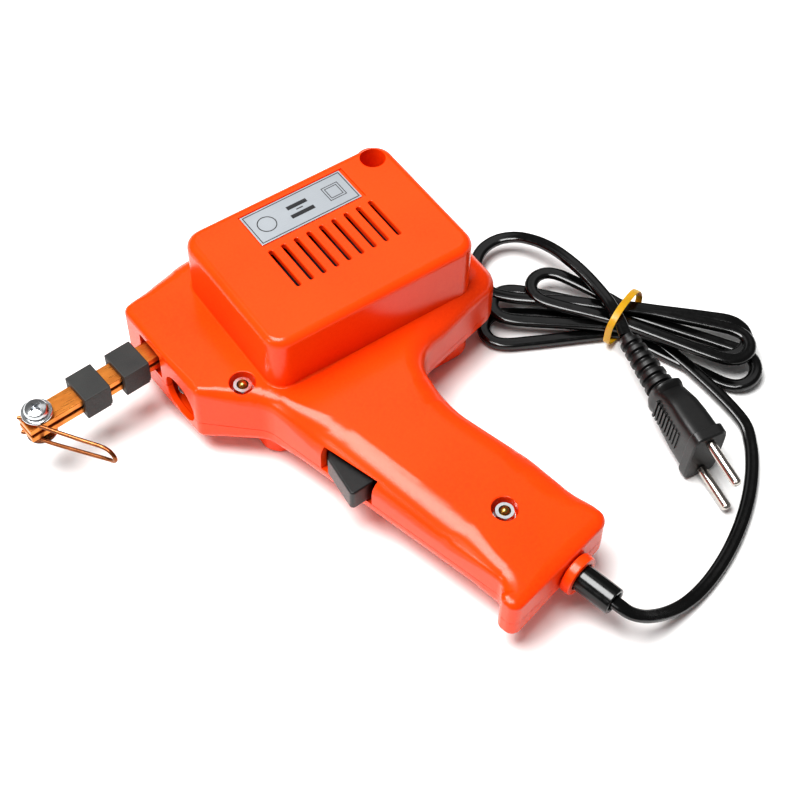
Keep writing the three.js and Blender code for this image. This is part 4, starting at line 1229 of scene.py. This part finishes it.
@dataclass
class Plug:
    """The moulded plug. Its own axes are X out along the pins, Z across them, origin in its face."""

    x: float = 105.2
    y: float = -144.4
    z: float = 14.6
    heading: float = math.radians(-99.2)
    dip: float = math.radians(4)

    def _place(self) -> Matrix:
        """Return the matrix from the plug's axes to the drawing frame."""
        turn = Matrix.Rotation(self.heading, 4, "Z") @ Matrix.Rotation(self.dip, 4, "Y")
        return Matrix.Translation((self.x, self.y, self.z)) @ turn

    def _station(self, x: float, half_z: float, half_y: float, power: float) -> np.ndarray:
        """Return one ring of the moulding: a superellipse across the plug."""
        ring = []
        for angle in np.linspace(0, 2 * math.pi, 64, endpoint=False):
            c, s = math.cos(angle), math.sin(angle)
            across = math.copysign(abs(c) ** (2 / power), c) * half_y
            up = math.copysign(abs(s) ** (2 / power), s) * half_z
            ring.append((x, across, up))
        return np.array(ring)

    def build(self) -> None:
        """Build the moulding and its two pins."""
        stations = [(0.0, 13.6, 6.9, 6), (-0.6, 14.3, 7.4, 6), (-4.3, 14.4, 7.5, 6), (-4.6, 14.2, 7.3, 6),
                    (-4.7, 12.5, 6.9, 5), (-9, 12.2, 6.9, 5), (-14, 12.0, 6.8, 5), (-20, 11.4, 6.6, 4.5),
                    (-25, 9.6, 6.4, 4), (-28.5, 8.2, 6.3, 3.6), (-30, 9.4, 6.6, 3.4), (-31.5, 9.6, 6.6, 3.2),
                    (-33, 7.4, 6.2, 3)]
        x = -34.0
        while x > -59.5:
            size = 6.0 - 1.7 * (-34.0 - x) / 26
            rib = ((0, 1.5), (0.5, 1.4), (0.9, 0), (2.7, 0.05), (3.1, 1.5))
            stations += [(x - back, size - less, size - less, 2) for back, less in rib]
            x -= 4.4
        stations += [(x, 3.0, 3.0, 2), (-61.4, 2.9, 2.9, 2), (-61.5, 2.0, 2.0, 2)]
        moulding = loft("plug_moulding", [self._station(*s) for s in stations][::-1])
        for i in range(9):
            ridge = block("rib", (-27.2 + 2.0 * i, -7.3, -5.2), (-26.2 + 2.0 * i, -6.2, 5.2))
            combine(moulding, ridge, "UNION")
        smooth(turned(moulding, self._place()), 38)
        finish_piece(moulding, PLUG_VINYL, "case", ["plug_body"])
        for number, z in ((1, 9.3), (2, -9.3)):
            profile = [(0, 0.3), (2.0, 0.3), (2.0, 18.6), (1.85, 19.3), (1.4, 19.8), (0.7, 20.0), (0, 20.0)]
            pin = lathe(f"plug_pin_{number}_fine", profile, 36)
            turn = Matrix.Translation((0, 0, z)) @ Matrix.Rotation(math.pi / 2, 4, "Y")
            smooth(turned(pin, self._place() @ turn), 40)
            finish_piece(pin, NICKEL, "case", [f"plug_pin_{number}"])


# ------------------------------------------------------------------ stage
@dataclass
class Stage:
    """The floor, the soft lights and the camera."""

    azimuth: float = -36.274
    elevation: float = 53.716
    roll: float = 1.564
    distance: float = 663.94
    target: tuple[float, float, float] = (26.52, -50.47, 6.0)
    lens: float = 74.25

    def build(self) -> None:
        """Build the stage."""
        self._camera()
        self._floor()
        self._lights()

    def _camera(self) -> None:
        """Place the camera on its line of sight."""
        azimuth, elevation, roll = (math.radians(v) for v in (self.azimuth, self.elevation, self.roll))
        back = Vector((math.sin(azimuth) * math.cos(elevation), -math.cos(azimuth) * math.cos(elevation),
                       math.sin(elevation)))
        right = Vector((math.cos(azimuth), math.sin(azimuth), 0))
        up = back.cross(right)
        right_rolled = right * math.cos(roll) + up * math.sin(roll)
        up_rolled = up * math.cos(roll) - right * math.sin(roll)
        data = bpy.data.cameras.new("camera")
        data.lens = self.lens
        data.sensor_width = 36
        camera = bpy.data.objects.new("camera", data)
        bpy.context.scene.collection.objects.link(camera)
        turn = Matrix((right_rolled, up_rolled, back)).transposed().to_4x4()
        place = to_row(*self.target) + back * self.distance * MM
        camera.matrix_world = Matrix.Translation(place) @ turn
        bpy.context.scene.camera = camera

    def _floor(self) -> None:
        """Lay a pale floor."""
        deselect()
        bpy.ops.mesh.primitive_plane_add(size=8, location=(0, 0, 0))
        floor = bpy.context.object
        floor.name = "floor"
        material = bpy.data.materials.new("pale_floor")
        material.use_nodes = True
        shader = material.node_tree.nodes["Principled BSDF"]
        shader.inputs["Base Color"].default_value = linear("#F7F7F6")
        shader.inputs["Roughness"].default_value = 0.9
        floor.data.materials.append(material)

    def _lights(self) -> None:
        """Light the object softly from above, with a broad window to the left."""
        scene = bpy.context.scene
        scene.view_settings.view_transform = "Standard"
        scene.view_settings.look = "Medium High Contrast"
        world = bpy.data.worlds.new("studio")
        scene.world = world
        world.use_nodes = True
        background = world.node_tree.nodes["Background"]
        background.inputs["Color"].default_value = linear("#FFFFFF")
        background.inputs["Strength"].default_value = 0.16
        for name, place, size, power in (
            ("overhead", (-0.3, 0.15, 1.3), 0.8, 27.0),
            ("window", (-1.15, 0.22, 0.6), 0.3, 2.4),
            ("card", (0.46, 0.62, 1.05), 0.6, 0.8),
        ):
            data = bpy.data.lights.new(name, "AREA")
            data.size = size
            data.energy = power
            light = bpy.data.objects.new(name, data)
            scene.collection.objects.link(light)
            turn = (Vector((0, 0, 0.03)) - Vector(place)).to_track_quat("-Z", "Y").to_matrix().to_4x4()
            light.matrix_world = Matrix.Translation(place) @ turn


# ------------------------------------------------------------------ assembly
def dress_cad_nodes() -> None:
    """Give each inner CAD node its finish."""
    for name, finish in CAD_FINISHES.items():
        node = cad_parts[name]
        node.data.materials.clear()
        node.data.materials.append(finish.material())


def main() -> None:
    """Build the stage, the cord and every visible piece."""
    logging.basicConfig(level=logging.INFO, format="%(name)s %(message)s")
    Stage().build()
    CordEntry().build()
    RubberBand().build()
    Plug().build()
    MainsCord().build()
    case = Case()
    case.build(Half.UPPER)
    case.build(Half.LOWER)
    Nameplate().build()
    for name, x, y, ledge in case.bolts:
        CaseBolt(name, x, y, ledge).build()
    Nose().build()
    Lamp().build()
    Trigger().build()
    dress_cad_nodes()


if __name__ == "__main__":
    main()
